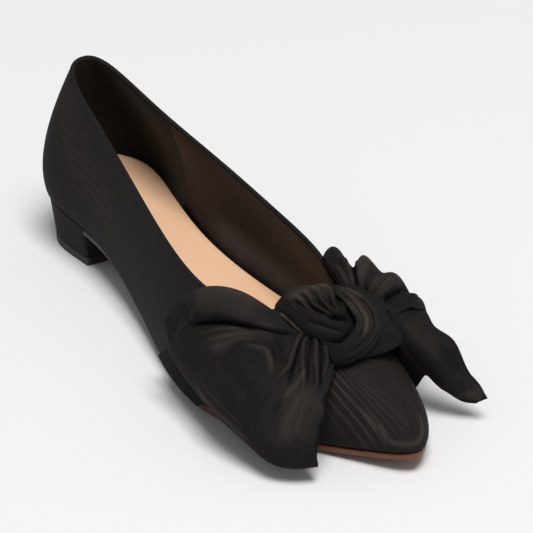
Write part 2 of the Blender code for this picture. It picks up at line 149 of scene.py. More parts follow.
UPPER_SHINE = (
    (0.75, 6.0, 6.0, (0.40, 0.90), (0.42, 0.62), (0.432, 0.42), (0.444, 0.25), (0.452, 0.12), (0.456, 0.0)),
    (0.25, 3.0, 3.0, (0.56, 0.85), (0.55, 0.55), (0.535, 0.25), (0.53, 0.05)),
    (0.05, 6.0, 6.0, (0.06, 0.62), (0.14, 0.52), (0.22, 0.45), (0.30, 0.42), (0.36, 0.40)),
)
UPPER_LINES = (
    (0.45, 0.8, 0.8, (0.445, 0.41), (0.455, 0.29), (0.463, 0.20), (0.47, 0.13), (0.485, 0.11), (0.50, 0.115),
     (0.515, 0.14), (0.53, 0.20), (0.54, 0.32)),
    # a broad painted highlight on the quarter, where the light falls on its side
    (0.06, 9.0, 9.0, (0.05, 0.95), (0.09, 0.70), (0.13, 0.52), (0.18, 0.42), (0.23, 0.40)),
)
# Where a grey sheen is painted into the lining's colour, above the sock on the inner side, in rows of the
# same kind
LINING_SHINE = (
    (0.7, 6.0, 5.0, (0.85, 0.20), (0.82, 0.22), (0.80, 0.24), (0.775, 0.22), (0.75, 0.18), (0.73, 0.14)),
)

# The loops' fold lines, from the knot over the top, round the bend and back under
LOOP_COLUMNS = (
    "share", "knot_along", "knot_across", "knot_height", "bend_along", "bend_across", "bend_height",
    "rise", "tilt", "hang", "lift",
)
OUTER_LOOP = (
    (0.00, 181.0, -25.0, 42.5, 150.0, -49.5, 28.0, 28.0, 38.0, 11.0, 4.0),   # heel edge
    (0.16, 184.0, -24.0, 44.0, 159.0, -51.5, 23.0, 30.0, 34.0, 14.0, 4.5),   # rolled lobe
    (0.34, 189.0, -22.4, 41.2, 173.0, -52.5, 18.5, 13.0, 6.0, 14.0, 4.5),    # trough
    (0.60, 197.0, -19.8, 39.7, 194.0, -53.5, 16.0, 16.0, 3.0, 18.0, 5.0),    # broad face
    (0.82, 205.0, -17.4, 36.2, 214.0, -50.5, 11.5, 15.0, 3.0, 16.0, 5.0),    # gathers
    (0.94, 209.5, -15.6, 32.7, 226.5, -44.5, 8.5, 12.0, 3.0, 12.0, 4.5),     # lower corner
    (1.00, 211.5, -14.6, 31.2, 231.5, -36.0, 8.5, 12.0, 3.0, 10.0, 4.0),     # toe edge
)
INNER_LOOP = (
    (0.00, 187.5, 5.2, 45.2, 159.0, 14.0, 43.9, 12.0, 4.0, 1.6, 2.4),        # heel edge
    (0.15, 188.5, 7.0, 46.5, 153.0, 22.6, 39.4, 22.0, 8.0, 8.0, 3.0),        # first lobe
    (0.28, 190.0, 7.6, 46.5, 165.5, 22.5, 36.5, 12.0, 5.0, 8.0, 4.5),        # notch
    (0.41, 192.0, 8.6, 46.2, 166.5, 27.0, 35.0, 22.0, 24.0, 13.0, 5.0),      # second lobe
    (0.54, 193.6, 9.4, 45.5, 176.0, 30.5, 33.0, 18.0, 18.0, 9.0, 5.0),       # dip between
    (0.68, 195.8, 10.8, 44.4, 183.5, 34.0, 31.0, 19.0, 24.0, 12.0, 5.0),     # third lobe
    (0.81, 199.0, 12.8, 42.0, 188.5, 36.0, 29.5, 10.0, 10.0, 8.0, 4.0),      # dark fold
    (0.92, 202.0, 14.8, 40.2, 193.0, 36.8, 29.0, 13.0, 24.0, 9.0, 3.0),      # shoulder
    (1.00, 204.5, 16.4, 39.0, 198.5, 33.5, 29.0, 10.0, 22.0, 7.0, 2.4),      # toe edge
)
LOOP_MOUTH = 2.2
LOOP_TUCK = 0.35              # share of the way to the knot's heart that a loop starts inside the knot
LOOP_ROOT = 14                # points of a fold line inside the knot, over the top, round the bend and under
LOOP_OVER = 100
LOOP_BEND = 18
LOOP_UNDER = 60
LOOP_ACROSS = 140
LOOP_SWAY = 2.2               # how far a loop's toe side edge strays from a smooth line
SWAY_SIZE = 7.0
SWAY_SEED = 1.3
SWAY_FROM = 0.82              # share across a loop from which its edge strays
HANG_BACK = 0.9               # shares of a fold line's hang and rise that it has on its way back under
RISE_BACK = 0.8

# The tails. The inner one hangs free, and its rows are its two edges and the swell between them.
TAIL_COLUMNS = (
    "toe_along", "toe_across", "toe_height", "heel_along", "heel_across", "heel_height", "swell",
)
INNER_TAIL = (
    (201.5, 14.5, 42.0, 194.0, 31.5, 37.0, 1.0),
    (204.8, 15.0, 38.0, 199.5, 32.8, 34.0, 1.6),
    (208.0, 16.2, 31.5, 205.0, 33.0, 30.5, 2.0),
    (210.3, 18.8, 25.5, 211.2, 35.8, 28.2, 2.4),
    (213.0, 22.0, 20.5, 215.4, 37.4, 23.4, 2.6),
    (216.5, 25.5, 15.5, 218.4, 39.0, 17.0, 2.4),
    (219.4, 28.5, 12.0, 221.4, 40.6, 13.6, 1.8),
    (221.5, 33.5, 8.0, 225.8, 40.8, 11.8, 1.0),
    (224.0, 39.0, 6.8, 228.0, 41.02, 9.6, 0.3),
)
TAIL_TURN = (-3.6, 0.4, -10.2)  # reach of the strip turned down from the inner tail's toe side edge
TAIL_TURN_END = (0.50, 0.56)    # shares of the tail between which the strip runs out
TAIL_TURN_POINTS = 16
TAIL_POINTS = 110
TAIL_ACROSS = 60
# The outer tail's two edges as places on the upper, and how far it stands off there
OUTER_TAIL_COLUMNS = ("toe_section", "toe_up", "heel_section", "heel_up", "off")
OUTER_TAIL = (
    (32.5, 0.98, 30.5, 0.98, 1.2),
    (31.5, 0.76, 28.5, 0.84, 1.2),
    (30.2, 0.50, 26.5, 0.64, 1.4),
    (28.8, 0.26, 24.4, 0.42, 2.2),
    (27.2, 0.05, 22.8, 0.19, 3.6),
)
CAD_SECTIONS_BETWEEN = 5      # the solids count sections in steps of this share of a table row
UPPER_LEVELS = 80             # levels of the upper's surface that the outer tail's places are read from
FLAT_COLUMN = 30              # the line along and the line across on which a tail or band is measured
FLAT_ROW = 60

# The knot's body: a squat barrel across the vamp, with its ends drawn in and its toe side falling away
KNOT_HEART = (196.0, -4.0, 42.0)
KNOT_PLACE = 196.0
KNOT_OUTER = -18.5
KNOT_INNER = 9.5
KNOT_SKEW = 0.33
KNOT_INNER_SKEW = 0.6
KNOT_HEIGHT = 43.4
KNOT_HALF_LENGTH = 17.0
KNOT_OVER = 6.4
KNOT_UNDER = 3.9
KNOT_END_SHARE = 0.6
KNOT_FALL = 0.4
KNOT_CURVE = 0.015
KNOT_DROOP = 3.0
KNOT_ROUND = 180
KNOT_ALONG = 121
KNOT_CAP = 12
KNOT_TOP = 0.3                # how far up or down the barrel's side its folds fade in
KNOT_FLAT = (32.0, 63.0)      # cloth along and round the knot

# Folds of the bow. A row is a soft ridge, or a trough where its height is below 0: height, width to the left,
# width to the right in mm, and marks that it runs through, each a share of the way out and a share across.
OUTER_LOOP_FOLDS = (
    (-4.2, 0.7, 1.5, (0.74, 0.21), (0.60, 0.24), (0.50, 0.27), (0.41, 0.30), (0.33, 0.36), (0.24, 0.46),
     (0.12, 0.60)),
    (1.8, 3.0, 0.8, (0.66, 0.18), (0.54, 0.22), (0.42, 0.26), (0.30, 0.34)),
    (0.9, 0.9, 0.9, (0.72, 0.27), (0.58, 0.29), (0.48, 0.31), (0.38, 0.35)),
    (0.8, 0.9, 0.9, (0.70, 0.31), (0.59, 0.33), (0.49, 0.36), (0.38, 0.41)),
    (0.7, 0.9, 0.9, (0.72, 0.36), (0.61, 0.38), (0.50, 0.41), (0.41, 0.48)),
    (-2.4, 4.0, 4.0, (0.92, 0.08), (0.74, 0.14), (0.60, 0.18)),
    (1.4, 1.5, 3.5, (0.54, 0.40), (0.48, 0.54), (0.43, 0.62), (0.42, 0.68), (0.46, 0.735), (0.54, 0.78)),
    (-2.0, 2.2, 2.0, (0.34, 0.50), (0.33, 0.64), (0.38, 0.72), (0.46, 0.76)),
    (1.7, 0.7, 0.7, (0.08, 0.57), (0.19, 0.68), (0.30, 0.76), (0.42, 0.805), (0.56, 0.80)),
    (-2.0, 0.6, 0.7, (0.08, 0.61), (0.20, 0.715), (0.31, 0.79), (0.43, 0.84), (0.54, 0.86)),
    (1.4, 0.6, 0.6, (0.09, 0.63), (0.20, 0.745), (0.30, 0.825), (0.43, 0.90), (0.54, 0.92)),
    (-2.0, 0.6, 0.6, (0.06, 0.66), (0.18, 0.79), (0.30, 0.87), (0.44, 0.93)),
    (1.4, 0.6, 0.6, (0.05, 0.70), (0.14, 0.80), (0.24, 0.88), (0.36, 0.94), (0.48, 0.96)),
    (-1.8, 0.6, 0.6, (0.04, 0.75), (0.12, 0.85), (0.27, 0.94), (0.42, 0.97)),
    (1.3, 0.6, 0.7, (0.03, 0.80), (0.08, 0.87), (0.18, 0.93), (0.34, 0.97)),
    (1.0, 0.8, 1.2, (0.94, 0.42), (0.96, 0.60), (0.97, 0.84)),
    (-1.4, 3.0, 3.0, (0.68, 0.42), (0.70, 0.60), (0.74, 0.80)),
    (1.4, 1.6, 2.6, (0.94, 0.84), (0.79, 0.83), (0.66, 0.83), (0.56, 0.84)),
    (-1.4, 1.4, 1.6, (0.88, 0.90), (0.74, 0.88), (0.62, 0.88), (0.52, 0.89)),
    (1.2, 1.6, 1.6, (0.84, 0.96), (0.68, 0.95), (0.56, 0.95), (0.45, 0.96)),
)
# Broad and thin lights on the loops' cloth, as rows of a strength, its reach to each side in mm and its marks
OUTER_LOOP_LIGHTS = (
    (0.28, 6.0, 6.0, (0.10, 0.02), (0.25, 0.06), (0.42, 0.09), (0.60, 0.10)),      # top of the rolled lobe
    (0.22, 4.0, 4.0, (0.20, 0.40), (0.38, 0.38), (0.55, 0.36), (0.72, 0.38)),      # below the crease
    (0.20, 6.0, 6.0, (0.40, 0.97), (0.55, 0.93), (0.70, 0.93), (0.85, 0.95)),      # lower right of the face
    (0.22, 0.7, 1.0, (0.50, 0.50), (0.44, 0.60), (0.42, 0.67), (0.46, 0.735), (0.54, 0.78)),
    (0.25, 0.6, 0.6, (0.30, 0.86), (0.42, 0.88), (0.52, 0.87), (0.62, 0.88)),
    (0.30, 0.6, 0.8, (0.95, 0.42), (0.965, 0.58), (0.975, 0.84)),                  # hem
    (0.20, 0.5, 0.6, (0.90, 0.45), (0.92, 0.60), (0.93, 0.80)),
)
INNER_LOOP_LIGHTS = (
    (0.25, 3.0, 3.0, (0.15, 0.40), (0.35, 0.42), (0.60, 0.42)),                    # second lobe
    (0.25, 3.0, 3.0, (0.15, 0.66), (0.35, 0.68), (0.60, 0.68)),                    # third lobe
)
INNER_LOOP_FOLDS = (
    (1.4, 0.9, 0.9, (0.42, 0.04), (0.28, 0.08), (0.14, 0.10)),
    (-1.6, 0.8, 0.8, (0.45, 0.10), (0.30, 0.13), (0.14, 0.16)),
    (1.4, 0.8, 0.8, (0.50, 0.15), (0.32, 0.19), (0.14, 0.24)),
    (-2.6, 0.9, 0.9, (0.75, 0.26), (0.50, 0.28), (0.30, 0.30), (0.12, 0.38)),
    (1.2, 1.0, 1.2, (0.50, 0.36), (0.34, 0.39), (0.18, 0.43)),
    (-1.2, 0.9, 0.9, (0.36, 0.48), (0.26, 0.51), (0.14, 0.54)),
    (1.2, 0.9, 1.1, (0.36, 0.58), (0.24, 0.60), (0.13, 0.62)),
    (-1.4, 0.9, 1.0, (0.50, 0.66), (0.32, 0.67), (0.14, 0.68)),
    (1.3, 1.0, 1.1, (0.55, 0.71), (0.40, 0.72), (0.18, 0.74)),
    (-2.4, 1.1, 1.5, (0.70, 0.76), (0.50, 0.78), (0.33, 0.80), (0.18, 0.81)),
    (1.6, 1.4, 1.8, (0.62, 0.94), (0.40, 0.94), (0.24, 0.92), (0.15, 0.88)),
)
INNER_TAIL_FOLDS = (
    (1.4, 1.8, 2.4, (0.10, 0.27), (0.25, 0.27), (0.40, 0.31), (0.56, 0.34), (0.75, 0.34)),
    (-2.2, 1.8, 1.8, (0.08, 0.0), (0.30, 0.0), (0.52, 0.0), (0.74, 0.0), (0.92, 0.02)),
    (-1.0, 2.0, 2.0, (0.22, 0.50), (0.40, 0.54), (0.54, 0.56), (0.72, 0.56)),
    (0.9, 0.9, 0.9, (0.80, 0.05), (0.86, 0.30), (0.93, 0.60), (0.98, 0.80)),
)
INNER_TAIL_LIGHTS = (
    (0.10, 3.5, 3.5, (0.14, 0.40), (0.28, 0.40), (0.40, 0.42), (0.52, 0.46)),      # upper middle
    (0.14, 2.0, 2.0, (0.84, 0.30), (0.90, 0.60), (0.97, 0.85)),                    # curled end
)
KNOT_FOLDS = (
    (-2.6, 1.4, 1.8, (0.33, 0.20), (0.38, 0.18), (0.44, 0.17)),
    (1.4, 0.6, 1.0, (0.24, 0.37), (0.22, 0.32), (0.20, 0.27), (0.24, 0.22), (0.28, 0.20)),
    (1.4, 0.6, 1.0, (0.33, 0.36), (0.31, 0.31), (0.27, 0.26), (0.30, 0.21), (0.33, 0.19)),
    (1.4, 0.6, 1.0, (0.41, 0.36), (0.38, 0.30), (0.33, 0.25), (0.35, 0.21), (0.37, 0.19)),
    (1.4, 0.6, 1.0, (0.49, 0.36), (0.46, 0.30), (0.40, 0.25), (0.39, 0.21), (0.40, 0.19)),
    (1.4, 0.6, 1.0, (0.57, 0.36), (0.54, 0.29), (0.46, 0.24), (0.43, 0.21), (0.43, 0.19)),
    (1.4, 0.6, 1.0, (0.65, 0.34), (0.61, 0.28), (0.52, 0.23), (0.47, 0.20), (0.46, 0.18)),
    (-1.3, 0.5, 0.5, (0.285, 0.365), (0.265, 0.315), (0.235, 0.265), (0.27, 0.215), (0.305, 0.195)),
    (-1.3, 0.5, 0.5, (0.37, 0.36), (0.345, 0.305), (0.30, 0.255), (0.325, 0.21), (0.35, 0.19)),
    (-1.3, 0.5, 0.5, (0.45, 0.36), (0.42, 0.30), (0.365, 0.25), (0.37, 0.21), (0.385, 0.19)),
    (-1.3, 0.5, 0.5, (0.53, 0.36), (0.50, 0.295), (0.43, 0.245), (0.41, 0.21), (0.415, 0.19)),
    (-1.3, 0.5, 0.5, (0.61, 0.35), (0.575, 0.285), (0.49, 0.235), (0.45, 0.205), (0.445, 0.185)),
)
KNOT_LIGHTS = (
    (0.40, 4.0, 4.0, (0.22, 0.34), (0.34, 0.33), (0.48, 0.32), (0.62, 0.30)),      # top of the pleats
)

# Bands of the ribbon over the knot's body: the wrap that comes over its top and curls round its inner side,
# and the lip on its outer side. A row is the band's middle, half its width and its crown in mm.
BAND_COLUMNS = ("along", "across", "height", "half_width", "crown")
BAND_POINTS = 120
BAND_ACROSS = 61
LIP_LEAN = -0.35              # how far the lip's crown lies from its middle, in halves of its width
KNOT_WRAP = (
    (189.0, -2.0, 48.2, 2.5, 1.0),
    (192.5, 0.0, 49.2, 4.0, 1.6),
    (197.0, 1.6, 48.6, 5.8, 2.2),
    (202.0, 3.2, 46.6, 7.4, 2.8),
    (206.5, 3.6, 43.4, 8.2, 3.2),
    (210.0, 1.0, 39.8, 8.2, 3.2),
    (211.8, -4.0, 36.8, 7.0, 2.8),
    (211.4, -9.6, 34.6, 5.6, 2.2),
    (209.0, -14.5, 33.2, 4.4, 1.2),
)
KNOT_WRAP_FOLDS = (
    (-1.2, 0.5, 0.6, (0.12, 0.16), (0.45, 0.10), (0.80, 0.14)),
    (-1.6, 0.6, 0.7, (0.10, 0.30), (0.30, 0.27), (0.45, 0.25), (0.68, 0.26), (0.90, 0.26)),
    (-1.4, 0.5, 0.6, (0.06, 0.44), (0.40, 0.33), (0.85, 0.36)),
    (-1.4, 0.5, 0.6, (0.12, 0.56), (0.45, 0.45), (0.95, 0.48)),
    (-1.3, 0.5, 0.6, (0.16, 0.68), (0.45, 0.58), (0.90, 0.60)),
    (-1.2, 0.5, 0.6, (0.22, 0.82), (0.50, 0.74), (0.90, 0.74)),
)
KNOT_WRAP_LIGHTS = (
    (0.20, 3.0, 3.0, (0.12, 0.40), (0.24, 0.42), (0.36, 0.40)),                    # crown by the knot's top
    (0.38, 1.6, 1.6, (0.24, 0.08), (0.40, 0.10), (0.52, 0.11), (0.64, 0.13), (0.74, 0.14)),
    (0.12, 0.4, 0.5, (0.10, 0.23), (0.45, 0.16), (0.80, 0.19)),
    (0.12, 0.4, 0.5, (0.08, 0.37), (0.42, 0.28), (0.85, 0.30)),
    (0.12, 0.4, 0.5, (0.10, 0.50), (0.42, 0.39), (0.85, 0.42)),
    (0.12, 0.4, 0.5, (0.14, 0.62), (0.45, 0.52), (0.85, 0.54)),
)
KNOT_LIP = (
    (183.5, -21.8, 44.0, 2.0, 0.5),
    (187.0, -20.8, 44.6, 4.2, 0.9),
    (191.5, -19.6, 44.2, 5.0, 1.2),
    (196.0, -18.4, 43.2, 5.2, 1.4),
    (200.5, -16.2, 42.2, 5.2, 1.5),
    (204.2, -13.0, 41.2, 5.0, 1.5),
    (206.6, -9.4, 40.4, 4.6, 1.3),
    (207.6, -5.8, 39.6, 4.0, 0.8),
)
KNOT_LIP_FOLDS = (
    (-0.9, 0.4, 0.5, (0.08, 0.48), (0.25, 0.43), (0.40, 0.38), (0.56, 0.32)),
    (-1.6, 0.6, 0.9, (0.04, 0.18), (0.30, 0.14), (0.55, 0.15), (0.75, 0.20), (0.92, 0.26)),
    (-1.0, 1.0, 1.2, (0.45, 0.70), (0.70, 0.75), (0.90, 0.70)),
)
KNOT_LIP_LIGHTS = (
    (0.70, 0.4, 0.5, (0.08, 0.38), (0.22, 0.33), (0.34, 0.30), (0.50, 0.24)),      # folded edge
)

RIDGE_SHINE = 0.10            # strength of the light on a ridge's edge for each mm of its height
SHARP_FOLD = 1.0              # widest ridge in mm whose edge catches the light
SHINE_WIDTH = 0.6             # width of that light as a share of the ridge's
FOLD_FADE = 0.22              # share of a fold's length over which it fades in and out
FOLD_ROOM = 3                 # how many widths away a fold still shows
PATH_POINTS = 8               # points of a fold's line for each of its marks
SHOWN = 0.9                   # weight above which a point is on the side of a piece that shows
RIPPLE_SEED = 3.7
LOOP_RIPPLE = (0.35, 9.0)     # height and size of the cloth's uneven ripple on each kind of piece
TAIL_RIPPLE = (0.2, 9.0)
KNOT_RIPPLE = (0.5, 4.0)
BAND_RIPPLE = (0.4, 4.0)

# Flat width and length of the ribbon in each piece of the bow, in metres
OUTER_LOOP_CUT = (0.085, 0.085)
INNER_LOOP_CUT = (0.06, 0.06)
KNOT_WRAP_CUT = (0.016, 0.061)
KNOT_LIP_CUT = (0.0105, 0.037)

# The moire's patterns, in mm along and across the cloth
FIELD_SIZE = (50.0, 20.0)     # wander of the pressed lines
FIELD_LINES = 1.4             # line spacings by which that wander shifts a line
ZONE_SIZE = (60.0, 22.0)      # patches where the lines are strong or faint
RIB_STRAIGHT = 20.0           # run over which a rib stays straight
WEAR_SIZE = 5.0               # spots where the ribs are rubbed lighter
WAVE_UNIT = 0.314             # scale at which a wave texture has one band to a unit
BUMP_DEPTH = 0.2              # usual depth of a material's bump
# Each cloth's name, its ground's colour, and the strength of its lines all over and of its rubbed ribs
UPPER_CLOTH = ("moire_faille", "cloth_ground", 0.03, 0.09)
RIBBON_CLOTH = ("moire_ribbon", "ribbon_ground", 0.05, 0.03)
SOLE_SHADE = (-0.025, 0.03)   # Y in metres between which the sole's tan turns into the painted shade at the waist

# Camera: the photograph's viewing angle, on a square image
CAMERA_PLACE = (-0.50460, -0.84865, 0.5467)
CAMERA_AIM = (0.01794, -0.00178, 0.025)
CAMERA_LENS = 197.3
SENSOR_WIDTH = 36
FLOOR_HALF = 4.0
FLOOR_CELLS = 4
WORLD_LIGHT = 0.3
SOFTBOX_PLACE = (-0.2, -0.9, 3.2)
SOFTBOX_AIM = (0, 0, 0)
SOFTBOX_SIZE = 1.6
SOFTBOX_POWER = 89.0


def linear(text):
    """Linear colour with alpha for an sRGB hex value."""
    shares = [int(text[k:k + 2], 16) / 255 for k in (1, 3, 5)]
    return (*(s / 12.92 if s <= 0.04045 else ((s + 0.055) / 1.055) ** 2.4 for s in shares), 1.0)


def spline(knots, values, samples, closed=False):
    """Cubic spline through the values, one row for each knot; closed joins the last row to the first."""
    values = np.asarray(values, float)
    count = len(values)
    step = np.diff(knots)
    ahead = np.roll(values, -1, axis=0) if closed else values[1:]
    slope = (ahead - values[:len(step)]) / step[:, None]
    matrix = np.eye(count)
    right = np.zeros_like(values)
    for i in range(count) if closed else range(1, count - 1):
        matrix[i] = 0
        matrix[i, i - 1] += step[i - 1]
        matrix[i, i] += 2 * (step[i - 1] + step[i])
        matrix[i, (i + 1) % count] += step[i]
        right[i] = 6 * (slope[i] - slope[i - 1])
    bend = np.linalg.solve(matrix, right)
    samples = np.asarray(samples, float)
    low = np.clip(np.searchsorted(knots, samples, side="right") - 1, 0, len(step) - 1)
    high = (low + 1) % count
    size = step[low][:, None]
    u = (samples - np.asarray(knots)[low])[:, None] / size
    curve = ((1 - u) ** 3 - (1 - u)) * bend[low] + (u ** 3 - u) * bend[high]
    return (1 - u) * values[low] + u * values[high] + curve * size ** 2 / 6


def bezier(ends, shares):
    """Points of a cubic Bezier curve at shares of its run."""
    u = np.asarray(shares, float)[:, None]
    weights = ((1 - u) ** 3, 3 * u * (1 - u) ** 2, 3 * u * u * (1 - u), u ** 3)
    return sum(w * np.asarray(e) for w, e in zip(weights, ends))


def unit(vectors):
    return vectors / np.linalg.norm(vectors, axis=-1, keepdims=True)


def ease(low, high, value):
    """Smooth step from 0 to 1 between two values."""
    share = np.clip((np.asarray(value, float) - low) / (high - low), 0, 1)
    return share * share * (3 - 2 * share)


def lengths(points):
    """Distance run along a row of points, starting at 0."""
    return np.concatenate([[0], np.cumsum(np.linalg.norm(np.diff(points, axis=0), axis=-1))])


def part_points(points):
    """Along, across and height in mm turned into the part's frame in metres."""
    moved = (points[..., 1] - ORIGIN_ACROSS, ORIGIN_ALONG - points[..., 0], points[..., 2])
    return np.stack(moved, axis=-1) * MM


def grid_normals(grid, closed):
    """Normals of a grid of points; closed says that its first direction runs round."""
    if closed:
        first = np.roll(grid, -1, axis=0) - np.roll(grid, 1, axis=0)
    else:
        first = np.gradient(grid, axis=0)
    normal = np.cross(first, np.gradient(grid, axis=1))
    return normal / np.maximum(np.linalg.norm(normal, axis=2, keepdims=True), 1e-9)


def wander(points, size, seed):
    """Soft noise from -1 to 1 over a grid of points, with features of that size in mm."""
    flat = points.reshape(-1, 3) / size + seed
    return np.array([noise.noise(Vector(p)) for p in flat]).reshape(points.shape[:-1])


def between(grid, row, column):
    """Values of a grid at places between its points."""
    i = np.clip(row.astype(int), 0, grid.shape[0] - 2)
    j = np.clip(column.astype(int), 0, grid.shape[1] - 2)
    u, v = (row - i)[..., None], (column - j)[..., None]
    near = grid[i, j] * (1 - v) + grid[i, j + 1] * v
    far = grid[i + 1, j] * (1 - v) + grid[i + 1, j + 1] * v
    return near * (1 - u) + far * u


def mark_path(points, marks, reach):
    """Line over a grid of points, smooth through marks in shares of its first rows and of its columns."""
    marks = np.array(marks, float)
    knots = lengths(marks)
    spots = spline(knots, marks, np.linspace(0, knots[-1], PATH_POINTS * len(marks)))
    return between(points, spots[:, 0] * (reach - 1), spots[:, 1] * (points.shape[1] - 1))


def relief(points, normals, folds, reach):
    """Height in mm that soft folds add to a grid of points."""
    total = np.zeros(points.shape[:-1])
    for height, left, right, *marks in folds:
        line = mark_path(points, marks, reach)
        room = FOLD_ROOM * max(left, right)
        near = np.all((points > line.min(axis=0) - room) & (points < line.max(axis=0) + room), axis=-1)
        spots, out = points[near], normals[near]
        nearest = np.full(len(spots), np.inf)
        side = np.zeros(len(spots))
        place = np.zeros(len(spots))
        for k in range(len(line) - 1):
            run = line[k + 1] - line[k]
            share = np.clip((spots - line[k]) @ run / (run @ run), 0, 1)
            away = spots - line[k] - share[:, None] * run
            far = np.linalg.norm(away, axis=1)
            closer = far < nearest
            nearest[closer] = far[closer]
            side[closer] = (np.cross(out, run) * away).sum(axis=1)[closer]
            place[closer] = ((k + share) / (len(line) - 1))[closer]
        width = np.where(side > 0, left, right)
        fade = ease(0, FOLD_FADE, place) * ease(0, FOLD_FADE, 1 - place)
        total[near] += height * fade * np.exp(-(nearest / width) ** 2)
    return total


def folded(points, folds, weight, reach, ripple):
    """Points moved along their normals by folds and by an uneven ripple, in the share that weight gives."""
    normals = grid_normals(points, closed=False)
    if normals[weight > SHOWN][:, 2].mean() < 0:
        normals = -normals
    if np.allclose(points[:, 0], points[:, -1]):
        normals[:, [0, -1]] = unit(normals[:, [0]] + normals[:, [-1]] + 1e-12)
    high, size = ripple
    height = relief(points, normals, folds, reach) + high * wander(points, size, RIPPLE_SEED)
    return points + normals * (height * weight)[..., None]


def flat_measures(points, column, row):
    """Flat measures of a grid, from the lengths of one line along it and one line across."""
    return np.stack(np.meshgrid(lengths(points[:, column]), lengths(points[row]), indexing="ij"), axis=-1)


def bend_grid(points, flat, looks=None, marks=None):
    """A bmesh grid bent to an array of points in mm, with flat as its UV map; sides that meet are welded.

    Marks, from 0 to 1 at each point: the first is where the pressed lines show, and on the lining its painted
    sheen; the second is where highlights are painted and a thin lighter line runs.
    """
    rows, columns = points.shape[:2]
    marks = np.zeros((rows, columns, 2)) if marks is None else marks
    mesh = bmesh.new()
    bmesh.ops.create_grid(mesh, x_segments=rows - 1, y_segments=columns - 1, size=0.5)
    place = {}
    for vert in mesh.verts:
        place[vert] = (round((vert.co.x + 0.5) * (rows - 1)), round((vert.co.y + 0.5) * (columns - 1)))
    layer = mesh.loops.layers.uv.new("cloth")
    shine = mesh.loops.layers.uv.new("watermark")
    for face in mesh.faces:
        face.smooth = True
        for loop in face.loops:
            loop[layer].uv = flat[place[loop.vert]] * MM
            loop[shine].uv = marks[place[loop.vert]]
        if looks is not None:
            corner = np.min([place[vert] for vert in face.verts], axis=0)
            face.material_index = int(looks[tuple(corner)])
    bent = part_points(points)
    for vert, spot in place.items():
        vert.co = bent[spot]
    bmesh.ops.remove_doubles(mesh, verts=mesh.verts, dist=WELD)
    bmesh.ops.dissolve_degenerate(mesh, edges=mesh.edges, dist=NO_LENGTH)
    bmesh.ops.recalc_face_normals(mesh, faces=mesh.faces)
    return mesh


def cap_ends(mesh):
    """Closes a mesh's open ends and turns its faces outwards."""
    bmesh.ops.holes_fill(mesh, edges=[edge for edge in mesh.edges if edge.is_boundary], sides=0)
    bmesh.ops.recalc_face_normals(mesh, faces=mesh.faces)


def place_piece(name, mesh, materials, replaces):
    """Makes a piece from a bmesh, puts it on the shoe and lets it stand for a solid."""
    data = bpy.data.meshes.new(name)
    mesh.to_mesh(data)
    mesh.free()
    for material in materials:
        data.materials.append(material)
    piece = bpy.data.objects.new(name, data)
    bpy.context.scene.collection.objects.link(piece)
    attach(piece, "root")
    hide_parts(replaces)
    return piece


def seat_height(along):
    """Height of the upper's lower edge: heel seat, waist, flat tread and toe spring."""
    along = np.asarray(along, float)
    tread = OUTSOLE_THICKNESS + GAP
    breast = HEEL_HEIGHT - SEAT_FALL
    u = np.clip((along - BREAST_PLACE) / (TREAD_START - BREAST_PLACE), 0, 1)
    fall = SEAT_FALL / BREAST_PLACE * (TREAD_START - BREAST_PLACE)
    waist = breast * (1 - u) ** 3 + 3 * (breast - fall / 3) * u * (1 - u) ** 2 + tread * u * u * (3 - 2 * u)
    heel = SEAT_FALL * np.clip(1 - along / BREAST_PLACE, 0, None)
    toe = TOE_SPRING * (np.clip(along - TREAD_END, 0, None) / (LENGTH - TREAD_END)) ** 2
    return waist + heel + toe


def upper_rows():
    """The section table resampled round the shoe: an array for each column."""
    scale = np.array([LENGTH, BALL_WIDTH, LENGTH, BALL_WIDTH, BACK_HEIGHT, 1, 1, 1, 1])
    table = np.array(UPPER_SECTIONS) * scale
    ring = np.vstack([table, table[:1]])
    chord = np.linalg.norm(np.diff(ring[:, :2], axis=0), axis=1)
    knots = np.concatenate([[0], np.cumsum(chord ** SECTION_SPACING)])
    shares = np.arange(SECTIONS) / SECTIONS_BETWEEN
    samples = np.interp(shares, np.arange(len(knots)), knots)
    return dict(zip(SECTION_COLUMNS, spline(knots, table, samples, closed=True).T))


def plan_normals(outline):
    """Outward plan direction at each point of a closed outline."""
    run = np.roll(outline, -1, axis=0) - np.roll(outline, 1, axis=0)
    return unit(np.column_stack([run[:, 1], -run[:, 0]]))


def upper_grid(shares):
    """Outer points of the upper, as sections round the shoe by shares of the way up."""
    rows = upper_rows()
    outward = plan_normals(np.column_stack([rows["foot_along"], rows["foot_across"]]))
    foot = np.column_stack([rows["foot_along"], rows["foot_across"], seat_height(rows["foot_along"])])
    top = np.column_stack([rows["top_along"], rows["top_across"], rows["top_rise"]])
    flare, drop = np.radians(rows["flare"]), np.radians(rows["drop"])
    reach = (foot - top)[:, :2]
    length = np.linalg.norm(reach, axis=1, keepdims=True)
    leave = unit(np.maximum(1 - length / VAMP_REACH, 0) * outward + reach / np.maximum(length, VAMP_REACH))
    low = np.column_stack([outward * np.sin(flare)[:, None], np.cos(flare)]) * rows["low"][:, None]
    high = np.column_stack([leave * np.cos(drop)[:, None], -np.sin(drop)]) * rows["high"][:, None]
    return np.array([bezier(ends, shares) for ends in zip(foot, foot + low, top + high, top)])


def sole_edge(inset):
    """The upper's plan outline at the sole, moved inwards."""
    outline = upper_grid([0.0])[:, 0, :2]
    return outline - np.reshape(inset, (-1, 1)) * plan_normals(outline)


def cross_lines(outline, shares):
    """Lines across a closed plan outline, heel to toe, each from the outer to the inner side."""
    outer = outline[:SECTIONS // 2 + 1]
    inner = np.roll(outline[::-1], 1, axis=0)[:SECTIONS // 2 + 1]
    return outer[:, None] + (inner - outer)[:, None] * np.reshape(shares, (1, -1, 1))


